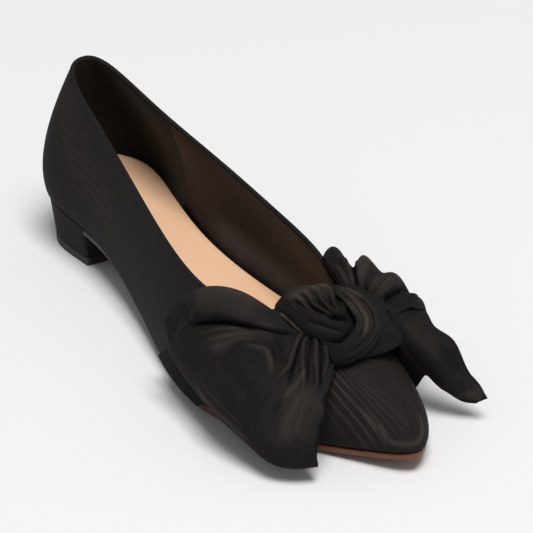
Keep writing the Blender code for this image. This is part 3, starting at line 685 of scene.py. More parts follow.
def split_lines(lines, along):
    """The lines behind and ahead of a place along the shoe, each with one more line just there."""
    middles = lines[:, :, 0].mean(axis=1)
    n = int(np.searchsorted(middles, along))
    u = (along - middles[n - 1]) / (middles[n] - middles[n - 1])
    there = lines[n - 1] + u * (lines[n] - lines[n - 1])
    return np.concatenate([lines[:n], [there]]), np.concatenate([[there], lines[n:]])


def slab_points(lines, top, bottom, radius):
    """Closed rings across the shoe between two heights, with their long edges rounded."""
    wide = np.linalg.norm(lines[:, -1] - lines[:, 0], axis=1)[:, None]
    shares = np.linalg.norm(lines - lines[:, :1], axis=2) / np.maximum(wide, 1e-6)
    edge = np.clip(np.minimum(shares, 1 - shares) * wide / radius, 0, 1)
    turn = radius * (1 - np.sqrt(1 - (1 - edge) ** 2))
    upper = np.dstack([lines, top(lines[..., 0]) - turn])
    lower = np.dstack([lines, bottom(lines[..., 0]) + turn])
    return np.concatenate([upper, lower[:, ::-1], upper[:, :1]], axis=1)


def edge_shares(count, wide, radius):
    """Shares across a line that crowd together within a radius of its two ends."""
    near = radius / wide * (1 - np.cos(np.linspace(0, np.pi / 2, EDGE_POINTS)))
    return np.concatenate([near[:-1], np.linspace(near[-1], 1 - near[-1], count), 1 - near[-2::-1]])


def fold_line(row):
    """Points of one fold line of a loop: out of the knot, over the top, round the bend and back under."""
    knot = np.array([row["knot_along"], row["knot_across"], row["knot_height"]])
    turn = np.array([row["bend_along"], row["bend_across"], row["bend_height"]])
    out = unit(np.array([*(turn - knot)[:2], 0.0]))
    up = np.array([0.0, 0.0, 1.0])
    tilt = math.radians(row["tilt"])
    start = row["rise"] * (out * math.cos(tilt) + up * math.sin(tilt))
    half = row["lift"] / 2
    home = turn - out * row["lift"]
    mouth = knot - up * LOOP_MOUTH
    inside = knot + LOOP_TUCK * (np.array(KNOT_HEART) - knot)
    angles = np.linspace(0, np.pi, LOOP_BEND + 2)[1:-1, None]
    return np.vstack([
        inside + (knot - inside) * np.linspace(0, 1, LOOP_ROOT, endpoint=False)[:, None],
        bezier((knot, knot + start, turn + up * row["hang"], turn), np.linspace(0, 1, LOOP_OVER)),
        turn - out * half + half * (out * np.cos(angles) - up * np.sin(angles)),
        bezier(
            (home, home + up * row["hang"] * HANG_BACK, mouth + out * row["rise"] * RISE_BACK, mouth),
            np.linspace(0, 1, LOOP_UNDER),
        ),
    ])


def add_node(tree, kind, inputs=(), **settings):
    """Adds a shader node with its settings, and sets or links its inputs."""
    made = tree.nodes.new(kind)
    for name, value in settings.items():
        setattr(made, name, value)
    for name, value in dict(inputs).items():
        if isinstance(value, bpy.types.NodeSocket):
            tree.links.new(value, made.inputs[name])
        else:
            made.inputs[name].default_value = value
    return made


def start_material(name, **sockets):
    """A new material with its Principled shader's own sockets set."""
    made = bpy.data.materials.new(name)
    made.use_nodes = True
    shader = made.node_tree.nodes["Principled BSDF"]
    for socket, value in sockets.items():
        shader.inputs[socket.replace("_", " ")].default_value = value
    return made, made.node_tree, shader


def per_mm(size):
    """Scale of a pattern whose features have that size in mm."""
    return 1 / (size * MM)


def finish_material(tree, shader, colour, height, strength, depth=BUMP_DEPTH, tone=None, rough=None):
    """Gives a shader its colour, a bump of that depth in mm and, from a tone, its roughness."""
    tree.links.new(colour, shader.inputs["Base Color"])
    if rough is not None:
        spread = add_node(tree, "ShaderNodeMapRange", {"Value": tone, "To Min": rough[0], "To Max": rough[1]})
        tree.links.new(spread.outputs[0], shader.inputs["Roughness"])
    bump = add_node(tree, "ShaderNodeBump", {"Height": height, "Strength": strength, "Distance": depth * MM})
    tree.links.new(bump.outputs[0], shader.inputs["Normal"])


def moire_cloth(name, ground, colours, sizes, pressed, ribbed):
    # Moire faille, a fine ribbed cloth pressed so that its ribs shine in long wavy contour lines
    made, tree, shader = start_material(name, IOR=1.5, Specular_IOR_Level=0.08)
    uv = add_node(tree, "ShaderNodeUVMap", uv_map="cloth").outputs["UV"]
    place = add_node(
        tree, "ShaderNodeMapping", {"Vector": uv, "Scale": (*map(per_mm, FIELD_SIZE), 1)},
    ).outputs[0]
    field = add_node(
        tree, "ShaderNodeTexNoise",
        {"Vector": place, "Scale": 1.0, "Detail": 5.0, "Roughness": 0.6, "Distortion": 0.3},
        noise_dimensions="2D",
    ).outputs["Fac"]
    across = add_node(tree, "ShaderNodeSeparateXYZ", {0: uv}).outputs["Y"]
    drift = add_node(
        tree, "ShaderNodeMath", {0: field, 1: 2 * math.pi * FIELD_LINES}, operation="MULTIPLY",
    ).outputs[0]
    turns = add_node(
        tree, "ShaderNodeMath", {0: across, 1: 2 * math.pi / sizes.line_pitch, 2: drift},
        operation="MULTIPLY_ADD",
    ).outputs[0]
    wave = add_node(tree, "ShaderNodeMath", {0: turns}, operation="SINE").outputs[0]
    line = add_node(
        tree, "ShaderNodeMapRange", {"Value": wave, "From Min": 0.2, "From Max": 1.0},
        interpolation_type="SMOOTHSTEP",
    ).outputs[0]
    zone_place = add_node(
        tree, "ShaderNodeMapping", {"Vector": uv, "Scale": (*map(per_mm, ZONE_SIZE), 1)},
    ).outputs[0]
    zone = add_node(
        tree, "ShaderNodeTexNoise", {"Vector": zone_place, "Scale": 1.0, "Detail": 1.0},
        noise_dimensions="2D",
    ).outputs["Fac"]
    strength = add_node(
        tree, "ShaderNodeMapRange",
        {"Value": zone, "From Min": 0.4, "From Max": 0.65, "To Min": 0.4, "To Max": 1.0},
    ).outputs[0]
    marks = add_node(tree, "ShaderNodeUVMap", uv_map="watermark").outputs["UV"]
    marks = add_node(tree, "ShaderNodeSeparateXYZ", {0: marks}).outputs
    most = add_node(tree, "ShaderNodeMath", {0: marks["X"], 1: pressed}, operation="ADD").outputs[0]
    strength = add_node(tree, "ShaderNodeMath", {0: strength, 1: most}, operation="MULTIPLY").outputs[0]
    lines = add_node(tree, "ShaderNodeMath", {0: line, 1: strength}, operation="MULTIPLY").outputs[0]
    # Painted highlights: the second channel lightens the cloth where rolls, folds and the quarter catch the
    # light, and draws a thin lighter line round the toe
    lines_and_highlights = add_node(
        tree, "ShaderNodeMath", {0: lines, 1: marks["Y"]}, operation="ADD", use_clamp=True,
    ).outputs[0]
    # Ribs of 0.45 mm are drawn at the rib pitch, coarser than real, so that they show
    rib_place = add_node(
        tree, "ShaderNodeMapping", {"Vector": uv, "Scale": (1 / sizes.rib_pitch, per_mm(RIB_STRAIGHT), 1)},
    ).outputs[0]
    ribs = add_node(
        tree, "ShaderNodeTexWave",
        {"Vector": rib_place, "Scale": WAVE_UNIT, "Distortion": 3.5, "Detail": 2.0, "Detail Scale": 0.9},
        wave_type="BANDS", bands_direction="X",
    ).outputs["Fac"]
    spots = add_node(
        tree, "ShaderNodeTexNoise", {"Vector": uv, "Scale": per_mm(WEAR_SIZE), "Detail": 3.0},
        noise_dimensions="2D",
    ).outputs["Fac"]
    worn = add_node(
        tree, "ShaderNodeMapRange", {"Value": spots, "From Min": 0.35, "From Max": 0.75, "To Max": ribbed},
    ).outputs[0]
    tone = add_node(tree, "ShaderNodeMath", {0: ribs, 1: worn, 2: lines_and_highlights}, operation="MULTIPLY_ADD").outputs[0]
    colour = add_node(
        tree, "ShaderNodeMix", {0: tone, 6: ground, 7: colours.cloth_line_and_highlight}, data_type="RGBA",
    ).outputs[2]
    height = add_node(tree, "ShaderNodeMath", {0: ribs, 1: lines_and_highlights}, operation="ADD").outputs[0]
    finish_material(tree, shader, colour, height, strength=0.2, tone=lines_and_highlights, rough=(0.7, 0.5))
    return made


def lining_leather(colours):
    # Pigskin lining, dyed nearly black with red-brown patches, with a soft grey sheen painted into its colour
    # above the sock on the inner side
    made, tree, shader = start_material("lining_leather", IOR=1.5, Specular_IOR_Level=0.12)
    spot = add_node(tree, "ShaderNodeTexCoord").outputs["Object"]
    patches = {"Vector": spot, "Scale": per_mm(31.25), "Detail": 3.0}
    tone = add_node(tree, "ShaderNodeTexNoise", patches).outputs["Fac"]
    dyed = add_node(
        tree, "ShaderNodeMix", {0: tone, 6: colours.lining_dark, 7: colours.lining_red}, data_type="RGBA",
    ).outputs[2]
    marks = add_node(tree, "ShaderNodeUVMap", uv_map="watermark").outputs["UV"]
    # Painted sheen: the grey highlight on the inner lining is mixed into its colour
    highlighted = add_node(tree, "ShaderNodeSeparateXYZ", {0: marks}).outputs["X"]
    highlighted = add_node(tree, "ShaderNodeMath", {0: highlighted, 1: tone}, operation="MULTIPLY").outputs[0]
    colour = add_node(
        tree, "ShaderNodeMix", {0: highlighted, 6: dyed, 7: colours.lining_painted_sheen}, data_type="RGBA",
    ).outputs[2]
    grain = add_node(tree, "ShaderNodeTexVoronoi", {"Vector": spot, "Scale": per_mm(1.2)}).outputs["Distance"]
    finish_material(tree, shader, colour, grain, strength=0.15, tone=tone, rough=(0.5, 0.36))
    return made


def heel_grip_suede(colours):
    # Suede heel grip, an olive-black that hardly reflects; its nap is drawn at 1.1 mm, coarser than real
    made, tree, shader = start_material(
        "heel_grip_suede", Specular_IOR_Level=0.12, Roughness=0.9, Sheen_Weight=0.1)
    spot = add_node(tree, "ShaderNodeTexCoord").outputs["Object"]
    fibres = {"Vector": spot, "Scale": per_mm(1.111), "Detail": 2.0}
    nap = add_node(tree, "ShaderNodeTexNoise", fibres).outputs["Fac"]
    colour = add_node(
        tree, "ShaderNodeMix", {0: nap, 6: colours.grip, 7: colours.grip_nap}, data_type="RGBA",
    ).outputs[2]
    finish_material(tree, shader, colour, nap, strength=0.3, depth=0.3)
    return made


def sock_leather(colours):
    # Smooth sheepskin sock, pale and matt; its pores are drawn at 0.9 mm, coarser than real
    made, tree, shader = start_material("sheepskin_sock", IOR=1.5, Specular_IOR_Level=0.15)
    spot = add_node(tree, "ShaderNodeTexCoord").outputs["Object"]
    patches = {"Vector": spot, "Scale": per_mm(25), "Detail": 4.0}
    tone = add_node(tree, "ShaderNodeTexNoise", patches).outputs["Fac"]
    colour = add_node(
        tree, "ShaderNodeMix", {0: tone, 6: colours.sock, 7: colours.sock_light}, data_type="RGBA",
    ).outputs[2]
    pores = add_node(tree, "ShaderNodeTexVoronoi", {"Vector": spot, "Scale": per_mm(0.9)}).outputs["Distance"]
    finish_material(tree, shader, colour, pores, strength=0.12, tone=tone, rough=(0.62, 0.5))
    return made


def sole_leather(colours):
    # Vegetable tanned sole leather, tan from the tread to the toe, waxed, with faint fibre streaks about 17
    # mm long; at the waist it is painted dark as shade, for the shade that the upper casts on its edge there
    made, tree, shader = start_material("waxed_sole", IOR=1.5, Specular_IOR_Level=0.4)
    spot = add_node(tree, "ShaderNodeTexCoord").outputs["Object"]
    streaks = {"Vector": spot, "Scale": (per_mm(4), per_mm(16.667), per_mm(1.6667))}
    stretch = add_node(tree, "ShaderNodeMapping", streaks).outputs[0]
    streak = {"Vector": stretch, "Scale": 1.0, "Detail": 3.0}
    fibre = add_node(tree, "ShaderNodeTexNoise", streak).outputs["Fac"]
    tan = add_node(
        tree, "ShaderNodeMix", {0: fibre, 6: colours.sole_dark, 7: colours.sole}, data_type="RGBA",
    ).outputs[2]
    along = add_node(tree, "ShaderNodeSeparateXYZ", {0: spot}).outputs["Y"]
    # Painted shade: the sole's edge at the waist is darkened for the upper's shade
    shade = {"Value": along, "From Min": SOLE_SHADE[0], "From Max": SOLE_SHADE[1]}
    waist = add_node(tree, "ShaderNodeMapRange", shade).outputs[0]
    colour = add_node(
        tree, "ShaderNodeMix", {0: waist, 6: tan, 7: colours.sole_waist_shade}, data_type="RGBA",
    ).outputs[2]
    finish_material(tree, shader, colour, fibre, strength=0.15, tone=fibre, rough=(0.5, 0.38))
    return made


def heel_rubber(colours):
    # Moulded rubber top piece, near black and matt; its grit is drawn at 0.7 mm, coarser than real
    made, tree, shader = start_material("moulded_rubber", IOR=1.52, Specular_IOR_Level=0.4)
    spot = add_node(tree, "ShaderNodeTexCoord").outputs["Object"]
    grains = {"Vector": spot, "Scale": per_mm(0.66667), "Detail": 2.0}
    grit = add_node(tree, "ShaderNodeTexNoise", grains).outputs["Fac"]
    colour = add_node(
        tree, "ShaderNodeMix", {0: grit, 6: colours.rubber, 7: colours.rubber_worn}, data_type="RGBA",
    ).outputs[2]
    finish_material(tree, shader, colour, grit, strength=0.2, tone=grit, rough=(0.5, 0.7))
    return made


def floor_paper(colours):
    # Matt seamless paper, pale grey, with a faint tooth of 2.5 mm
    made, tree, shader = start_material(
        "floor_paper", Base_Color=colours.floor, Specular_IOR_Level=0.0, Roughness=0.9)
    spot = add_node(tree, "ShaderNodeTexCoord").outputs["Object"]
    tooth = add_node(tree, "ShaderNodeTexNoise", {"Vector": spot, "Scale": per_mm(2.5)}).outputs["Fac"]
    bump = add_node(tree, "ShaderNodeBump", {"Height": tooth, "Strength": 0.02, "Distance": BUMP_DEPTH * MM})
    tree.links.new(bump.outputs[0], shader.inputs["Normal"])
    return made


def shared_material(name, make):
    """The material of that name, made on first use."""
    return bpy.data.materials.get(name) or make()


def colour_choice(name, description, value):
    """A colour that a user may change, with an sRGB hex value as its default."""
    return bpy.props.FloatVectorProperty(
        name=name, description=description, subtype="COLOR", size=4, min=0, max=1, default=linear(value))


class BowFlatColours(bpy.types.PropertyGroup):
    """Colours of the shoe's materials."""

    cloth_ground: colour_choice("Cloth ground", "Black of the moire cloth between its lines", "#201d1d")
    ribbon_ground: colour_choice("Ribbon ground", "Black of the bow's ribbon between its lines", "#1b1919")
    # Also the tone of the highlights painted on the cloth
    cloth_line_and_highlight: colour_choice("Cloth line", "Lighter tone of the cloth's pressed lines", "#574c45")
    lining_dark: colour_choice("Lining", "Dark tone of the lining leather", "#101214")
    lining_red: colour_choice("Lining red", "Red-brown that shows through the lining", "#1f1819")
    # Grey of the sheen painted into the lining
    lining_painted_sheen: colour_choice("Lining gloss", "Grey of the lining where it is rubbed", "#5c5c5c")
    grip: colour_choice("Heel grip", "Olive black of the heel grip", "#1d1a15")
    grip_nap: colour_choice("Heel grip nap", "Lighter tone of the heel grip's nap", "#2a261e")
    sock: colour_choice("Sock", "Peach beige of the sock leather", "#f4c29b")
    sock_light: colour_choice("Sock light", "Lighter tone of the sock leather", "#f8cca8")
    sole: colour_choice("Sole", "Tan of the sole leather", "#7c4a31")
    sole_dark: colour_choice("Sole dark", "Darker streaks of the sole leather", "#5e3725")
    # Painted shade at the sole's waist, where the upper shades its edge
    sole_waist_shade: colour_choice("Sole waist", "Dark stain of the sole's waist", "#2b201b")
    rubber: colour_choice("Rubber", "Black of the heel's rubber top piece", "#1b1918")
    rubber_worn: colour_choice("Rubber worn", "Greyer grit of the top piece", "#2b2827")
    floor: colour_choice("Floor", "Pale grey of the studio paper", "#f2f2f2")


class BowFlatSizes(bpy.types.PropertyGroup):
    """Sizes of the finish."""

    rim_radius: bpy.props.FloatProperty(
        name="Rim radius", description="Roundness of the folded topline", unit="LENGTH", default=1.05 * MM)
    feather_radius: bpy.props.FloatProperty(
        name="Feather edge", description="Roundness where the upper tucks under to the sole", unit="LENGTH",
        default=1.4 * MM)
    ribbon_thickness: bpy.props.FloatProperty(
        name="Ribbon thickness", description="Thickness of the bow's ribbon", unit="LENGTH", default=1.1 * MM)
    rib_pitch: bpy.props.FloatProperty(
        name="Rib pitch", description="Spacing at which the cloth's ribs are drawn", unit="LENGTH",
        default=1.25 * MM)
    line_pitch: bpy.props.FloatProperty(
        name="Line pitch", description="Usual spacing of the cloth's pressed lines", unit="LENGTH",
        default=3.6 * MM)


def cloth_of(context, name, ground, pressed, ribbed):
    """The shoe's moire cloth on that ground."""
    colours, sizes = context.scene.bow_flat_colours, context.scene.bow_flat_sizes
    return shared_material(
        name, lambda: moire_cloth(name, getattr(colours, ground), colours, sizes, pressed, ribbed))


def upper_shine(table, shares):
    """Strength of a table's lines on the upper, at shares of the way up."""
    even = np.linspace(0, 1, len(shares))
    plain = upper_grid(even)
    light = relief(plain, grid_normals(plain, closed=True), table, SECTIONS)
    return np.array([np.interp(shares, even, row) for row in light])


def upper_rings(shares, rim, feather):
    """Closed sections of the upper: up its outside, over the folded topline and down its lining."""
    outer = upper_grid(shares)
    normals = grid_normals(outer, closed=True)
    run = np.array([lengths(line) for line in outer])
    inner = outer - UPPER_WALL * normals
    inner[:, 0, 2] = outer[:, 0, 2]
    tuck = np.clip(run / feather, 0, 1)
    outer = outer - normals * (feather * (1 - np.sqrt(1 - (1 - tuck) ** 2)))[..., None]
    middle = (outer[:, -1] + inner[:, -1]) / 2
    away = unit(outer[:, -1] - inner[:, -1])
    rise = unit(outer[:, -1] - outer[:, -BEAD_BELOW])
    bead = []
    for angle in np.radians(np.linspace(*BEAD_ANGLES, BEAD_POINTS)):
        bead.append(middle - BEAD_DROP * rise + rim * (away * math.cos(angle) + rise * math.sin(angle)))
    return np.concatenate([outer[:, :-1], np.stack(bead, axis=1), inner[:, -2::-1], outer[:, :1]], axis=1)


def upper_cloth(points, crest):
    """Flat measures of the cloth on the upper, which end at a column on the folded topline."""
    foot = lengths(points[:, 0, :2])
    around = np.minimum(foot, foot[-1] - foot)[:, None]
    turn = np.arange(SECTIONS + 1)[:, None] / SECTIONS
    turn = np.minimum(turn, 1 - turn)
    up = np.array([lengths(line) for line in points])
    up = np.minimum(up, up[:, [crest]])
    over = CLOTH_ROUND * (turn - CLOTH_START) + CLOTH_SLANT * up / up.max(axis=1, keepdims=True)
    vamp = ease(*VAMP_CLOTH, points[..., 0])
    run = around * (1 - vamp) + points[..., 0] * vamp
    return np.stack([run, (up - CLOTH_LEVEL) * (1 - vamp) + over * vamp], axis=-1)


class BOWFLAT_OT_upper(bpy.types.Operator):
    """Upper: moire cloth outside, folded over the topline, leather lining and heel grip inside"""

    bl_idname = "bowflat.upper"
    bl_label = "Upper"

    def execute(self, context):
        sizes, colours = context.scene.bow_flat_sizes, context.scene.bow_flat_colours
        shares = np.concatenate([
            np.linspace(0, EDGE_SHARE, FOOT_POINTS)[:-1],
            np.linspace(EDGE_SHARE, 1 - EDGE_SHARE, SIDE_POINTS),
            np.linspace(1 - EDGE_SHARE, 1, TOP_POINTS)[1:],
        ])
        rings = upper_rings(shares, sizes.rim_radius / MM, sizes.feather_radius / MM)
        points = np.concatenate([rings, rings[:1]])
        levels = len(shares)
        inside = levels - 1 + BEAD_POINTS
        marks = np.zeros((*points.shape[:2], 2))
        marks[:-1, :levels, 0] = upper_shine(UPPER_SHINE, shares)
        # Lighter lines: a thin one round the toe and a broad painted highlight on the quarter
        marks[:-1, :levels, 1] = upper_shine(UPPER_LINES, shares)
        # The lining's painted grey sheen
        marks[:-1, inside:-1, 0] = upper_shine(LINING_SHINE, shares)[:, -2::-1]
        marks[-1] = marks[0]

        looks = np.zeros(points.shape[:2], int)
        looks[:, inside - BEAD_LINING:] = 1
        looks[points[:, -GRIP_POINT, 0] < GRIP_END, inside - BEAD_LINING:] = 2
        flat = upper_cloth(points, levels + BEAD_POINTS // 2)
        mesh = bend_grid(points, flat, looks, np.clip(marks, 0, 1))
        cloth = cloth_of(context, *UPPER_CLOTH)
        lining = shared_material("lining_leather", lambda: lining_leather(colours))
        grip = shared_material("heel_grip_suede", lambda: heel_grip_suede(colours))
        place_piece("upper_shell", mesh, [cloth, lining, grip], "upper")
        return {"FINISHED"}


class BOWFLAT_OT_insole(bpy.types.Operator):
    """Sock: pale leather over a thin pad, cupped at the heel"""

    bl_idname = "bowflat.insole"
    bl_label = "Sock"

    def execute(self, context):
        shares = edge_shares(SOCK_POINTS, SOCK_WIDTH, SOCK_EDGE_RADIUS)
        lines = cross_lines(sole_edge(UPPER_WALL + 2 * GAP), shares)

        def top(along):
            cup = SOCK_CUP * np.clip(1 - along / SOCK_CUP_REACH, 0, 1) ** 2
            return seat_height(along) + INSOLE_THICKNESS + cup

        points = slab_points(lines, top, seat_height, SOCK_EDGE_RADIUS)
        sock = shared_material("sheepskin_sock", lambda: sock_leather(context.scene.bow_flat_colours))
        piece = place_piece("sock", bend_grid(points, points[..., :2]), [sock], "insole")
        return {"FINISHED"}


class BOWFLAT_OT_outsole(bpy.types.Operator):
    """Outsole: thin tan leather from the heel's breast to the toe"""

    bl_idname = "bowflat.outsole"
    bl_label = "Outsole"

    def execute(self, context):
        along = sole_edge(0)[:, 0]
        waist = np.clip(np.minimum(along - BREAST_PLACE, TREAD_START - along) / WAIST_EASE, 0, 1)
        shares = edge_shares(SOLE_POINTS, SOLE_WIDTH, SOLE_EDGE_RADIUS)
        lines = cross_lines(sole_edge(SOLE_INSET + WAIST_INSET * waist), shares)
        lines = split_lines(lines, BREAST_PLACE + GAP)[1]

        def top(along):
            return seat_height(along) - GAP

        def bottom(along):
            return top(along) - OUTSOLE_THICKNESS

        points = slab_points(lines, top, bottom, SOLE_EDGE_RADIUS)
        leather = shared_material("waxed_sole", lambda: sole_leather(context.scene.bow_flat_colours))
        mesh = bend_grid(points, points[..., :2])
        cap_ends(mesh)
        place_piece("outsole_leather", mesh, [leather], "outsole")
        return {"FINISHED"}


def heel_outline(share):
    """Plan outline of the heel with its breast corners softened; share is 0 at the seat, 1 at the floor."""
    lines = split_lines(cross_lines(sole_edge(HEEL_INSET), [0.0, 1.0]), BREAST_PLACE)[0]
    outline = np.vstack([lines[::-1, 0], lines[1:, -1]])
    breast = np.linspace(outline[-1], outline[0], BREAST_POINTS)[1:]
    outline = np.vstack([outline, breast])
    place = lengths(outline)
    even = np.linspace(0, place[-1], HEEL_POINTS + 1)
    outline = np.column_stack([np.interp(even, place, outline[:, k]) for k in (0, 1)])[:-1]
    for _ in range(CORNER_ROUNDS):
        outline = (np.roll(outline, 1, axis=0) + 2 * outline + np.roll(outline, -1, axis=0)) / 4
    centre = np.array([BREAST_PLACE, outline[:, 1].mean()])
    return centre + (outline - centre) * (1 - (1 - HEEL_TAPER) * share)


def block_mesh(levels):
    """A capped block through plan outlines, each a pair of an outline and its heights."""
    rings = np.array([np.column_stack([outline, heights]) for outline, heights in levels])
    rings = np.concatenate([rings, rings[:, :1]], axis=1)
    across = np.tile(lengths(rings[0]), (len(rings), 1))
    mesh = bend_grid(rings, np.stack([across, rings[..., 2]], axis=-1))
    cap_ends(mesh)
    return mesh


class BOWFLAT_OT_heel(bpy.types.Operator):
    """Heel: a low block covered in the upper's cloth, on a rubber top piece"""

    bl_idname = "bowflat.heel"
    bl_label = "Heel and top piece"

    def execute(self, context):
        floor = TOP_PIECE_THICKNESS + GAP
        levels = []
        for share in np.linspace(0, 1, HEEL_LEVELS):
            outline = heel_outline(share)
            seat = seat_height(outline[:, 0]) - GAP
            levels.append((outline, seat + (floor - seat) * share))
        cloth = cloth_of(context, *UPPER_CLOTH)
        place_piece("heel_block", block_mesh(levels), [cloth], "heel")

        outline = heel_outline(1.0)
        inward = plan_normals(outline)
        if (inward * (outline - outline.mean(axis=0))).sum() > 0:
            inward = -inward
        edges = list(TOP_PIECE_EDGE)
        edges += [(inset, TOP_PIECE_THICKNESS - depth) for inset, depth in reversed(TOP_PIECE_EDGE)]
        levels = [(outline + inset * inward, np.full(len(outline), height)) for inset, height in edges]
        rubber = shared_material("moulded_rubber", lambda: heel_rubber(context.scene.bow_flat_colours))
        place_piece("heel_top_rubber", block_mesh(levels), [rubber], "heel_top_piece")
        return {"FINISHED"}


def fold_shine(points, folds, lights, reach):
    """Marks for the light that a ribbon's rolls and the edges of its raised folds catch."""
    edges = list(lights)
    for height, left, right, *marks in folds:
        if height > 0 and max(left, right) <= SHARP_FOLD:
            edges.append((RIDGE_SHINE * height, SHINE_WIDTH * left, SHINE_WIDTH * right, *marks))
    light = relief(points, grid_normals(points, closed=False), edges, reach)
    return np.stack([np.zeros_like(light), np.clip(light, 0, 1)], axis=-1)


def finish_ribbon(context, name, points, flat, replaces, shine=None):
    """A ribbon piece: a grid given the ribbon's thickness, with flat as its UV map."""
    mesh = bend_grid(points, flat, marks=shine)
    piece = place_piece(name, mesh, [cloth_of(context, *RIBBON_CLOTH)], replaces)
    shell = piece.modifiers.new("thickness", "SOLIDIFY")
    shell.thickness = context.scene.bow_flat_sizes.ribbon_thickness
    shell.offset = 0
    return piece


def loop_points(table):
    """Grid of a loop, along by across, and its flat measures."""
    table = np.array(table)
    rows = spline(table[:, 0], table, np.linspace(0, 1, LOOP_ACROSS))
    lines = np.array([fold_line(dict(zip(LOOP_COLUMNS, row))) for row in rows])
    points = lines.transpose(1, 0, 2)
    return points, flat_measures(points, LOOP_ACROSS // 2, LOOP_ROOT + LOOP_OVER // 2)


class BOWFLAT_OT_bow_loops(bpy.types.Operator):
    """Bow loops: the ribbon folded out from the knot and back under, with its creases"""

    bl_idname = "bowflat.bow_loops"
    bl_label = "Bow loops"

    def execute(self, context):
        over = LOOP_ROOT + LOOP_OVER
        edge = ease(SWAY_FROM, 1, np.linspace(0, 1, LOOP_ACROSS))
        for side, table, folds, lights, cut in (
            ("outer", OUTER_LOOP, OUTER_LOOP_FOLDS, OUTER_LOOP_LIGHTS, OUTER_LOOP_CUT),
            ("inner", INNER_LOOP, INNER_LOOP_FOLDS, INNER_LOOP_LIGHTS, INNER_LOOP_CUT),
        ):
            points, flat = loop_points(table)
            shown = 1 - ease(over, over + LOOP_BEND, np.arange(len(points)))[:, None]
            shine = fold_shine(points, folds, lights, over)
            sway = LOOP_SWAY * wander(points, SWAY_SIZE, SWAY_SEED) * edge * shown
            weight = np.repeat(shown, LOOP_ACROSS, axis=1)
            points = folded(points, folds, weight, over, LOOP_RIPPLE)
            points = points + sway[..., None] * unit(np.gradient(points, axis=1))
            finish_ribbon(
                context, "ribbon_loop_" + side, points, flat, "bow_loop_" + side, shine)
        return {"FINISHED"}


def table_rows(table, columns, count):
    """A table resampled evenly from its first row to its last: an array for each column."""
    rows = spline(np.linspace(0, 1, len(table)), np.array(table), np.linspace(0, 1, count))
    return {name: rows[:, [k]] for k, name in enumerate(columns)}


def inner_tail_points():
    """Grid of the inner tail, along by across."""
    rows = table_rows(INNER_TAIL, TAIL_COLUMNS, TAIL_POINTS)
    across = np.linspace(0, 1, TAIL_ACROSS)
    points = []
    for measure in ("along", "across", "height"):
        toe, heel = rows["toe_" + measure], rows["heel_" + measure]
        points.append(toe + (heel - toe) * across)
    points = np.stack(points, axis=-1)
    points[..., 2] += rows["swell"] * np.sin(np.pi * across)
    return points


def outer_tail_points():
    """Grid of the outer tail, along by across, standing off the upper's surface."""
    rows = table_rows(OUTER_TAIL, OUTER_TAIL_COLUMNS, TAIL_POINTS)
    across = np.linspace(0, 1, TAIL_ACROSS)
    surface = upper_grid(np.linspace(0, 1, UPPER_LEVELS + 1))
    section = rows["toe_section"] + (rows["heel_section"] - rows["toe_section"]) * across
    section = section * SECTIONS_BETWEEN / CAD_SECTIONS_BETWEEN
    up = (rows["toe_up"] + (rows["heel_up"] - rows["toe_up"]) * across) * UPPER_LEVELS
    away = between(grid_normals(surface, closed=True), section, up)
    return between(surface, section, up) + rows["off"][..., None] * away


class BOWFLAT_OT_bow_tails(bpy.types.Operator):
    """Bow tails: the ribbon's two ends, one against the outer side and one hanging past the inner side"""

    bl_idname = "bowflat.bow_tails"
    bl_label = "Bow tails"

    def execute(self, context):
        points = inner_tail_points()
        shine = fold_shine(points, INNER_TAIL_FOLDS, INNER_TAIL_LIGHTS, len(points))
        points = folded(points, INNER_TAIL_FOLDS, np.ones(points.shape[:2]), len(points), TAIL_RIPPLE)
        turned = 1 - ease(*TAIL_TURN_END, np.linspace(0, 1, len(points)))
        under = turned[:, None] * np.linspace(1, 0, TAIL_TURN_POINTS, endpoint=False)
        points = np.concatenate([points[:, :1] + under[..., None] * np.array(TAIL_TURN), points], axis=1)
        shine = np.pad(shine, ((0, 0), (TAIL_TURN_POINTS, 0), (0, 0)))
        flat = flat_measures(points, FLAT_COLUMN, FLAT_ROW)
        finish_ribbon(
            context, "ribbon_tail_inner", points, flat, "bow_tail_inner", shine)

        points = outer_tail_points()
        flat = flat_measures(points, FLAT_COLUMN, FLAT_ROW)
        finish_ribbon(context, "ribbon_tail_outer", points, flat, "bow_tail_outer")
        return {"FINISHED"}


def knot_points():
    """Grid of the knot's body, from its outer to its inner end by turns round it, and its folds' weight."""
    turn = np.linspace(0, 2 * np.pi, KNOT_ROUND + 1)
    ends = np.linspace(0, 1, KNOT_CAP, endpoint=False)
    body = -np.cos(np.linspace(0, np.pi, KNOT_ALONG))
    u = np.concatenate([-np.ones(KNOT_CAP), body, np.ones(KNOT_CAP)])
    cap = np.concatenate([ends, np.ones(KNOT_ALONG), ends[::-1]])
    size = (KNOT_END_SHARE + (1 - KNOT_END_SHARE) * np.sqrt(np.clip(1 - u * u, 0, 1))) * cap
    run = size[:, None] * KNOT_HALF_LENGTH * np.cos(turn)
    lift = size[:, None] * np.where(turn < np.pi, KNOT_OVER, KNOT_UNDER) * np.sin(turn)
    share = ((u + 1) / 2)[:, None]
    skew = KNOT_SKEW + (KNOT_INNER_SKEW - KNOT_SKEW) * share
    across = KNOT_OUTER + (KNOT_INNER - KNOT_OUTER) * share + skew * run
    height = KNOT_HEIGHT + lift - KNOT_FALL * run - KNOT_CURVE * run ** 2 - KNOT_DROOP * (u * u)[:, None]
    weight = cap[:, None] * ease(-KNOT_TOP, KNOT_TOP, np.sin(turn))
    return np.stack([KNOT_PLACE + run, across, height], axis=-1), weight


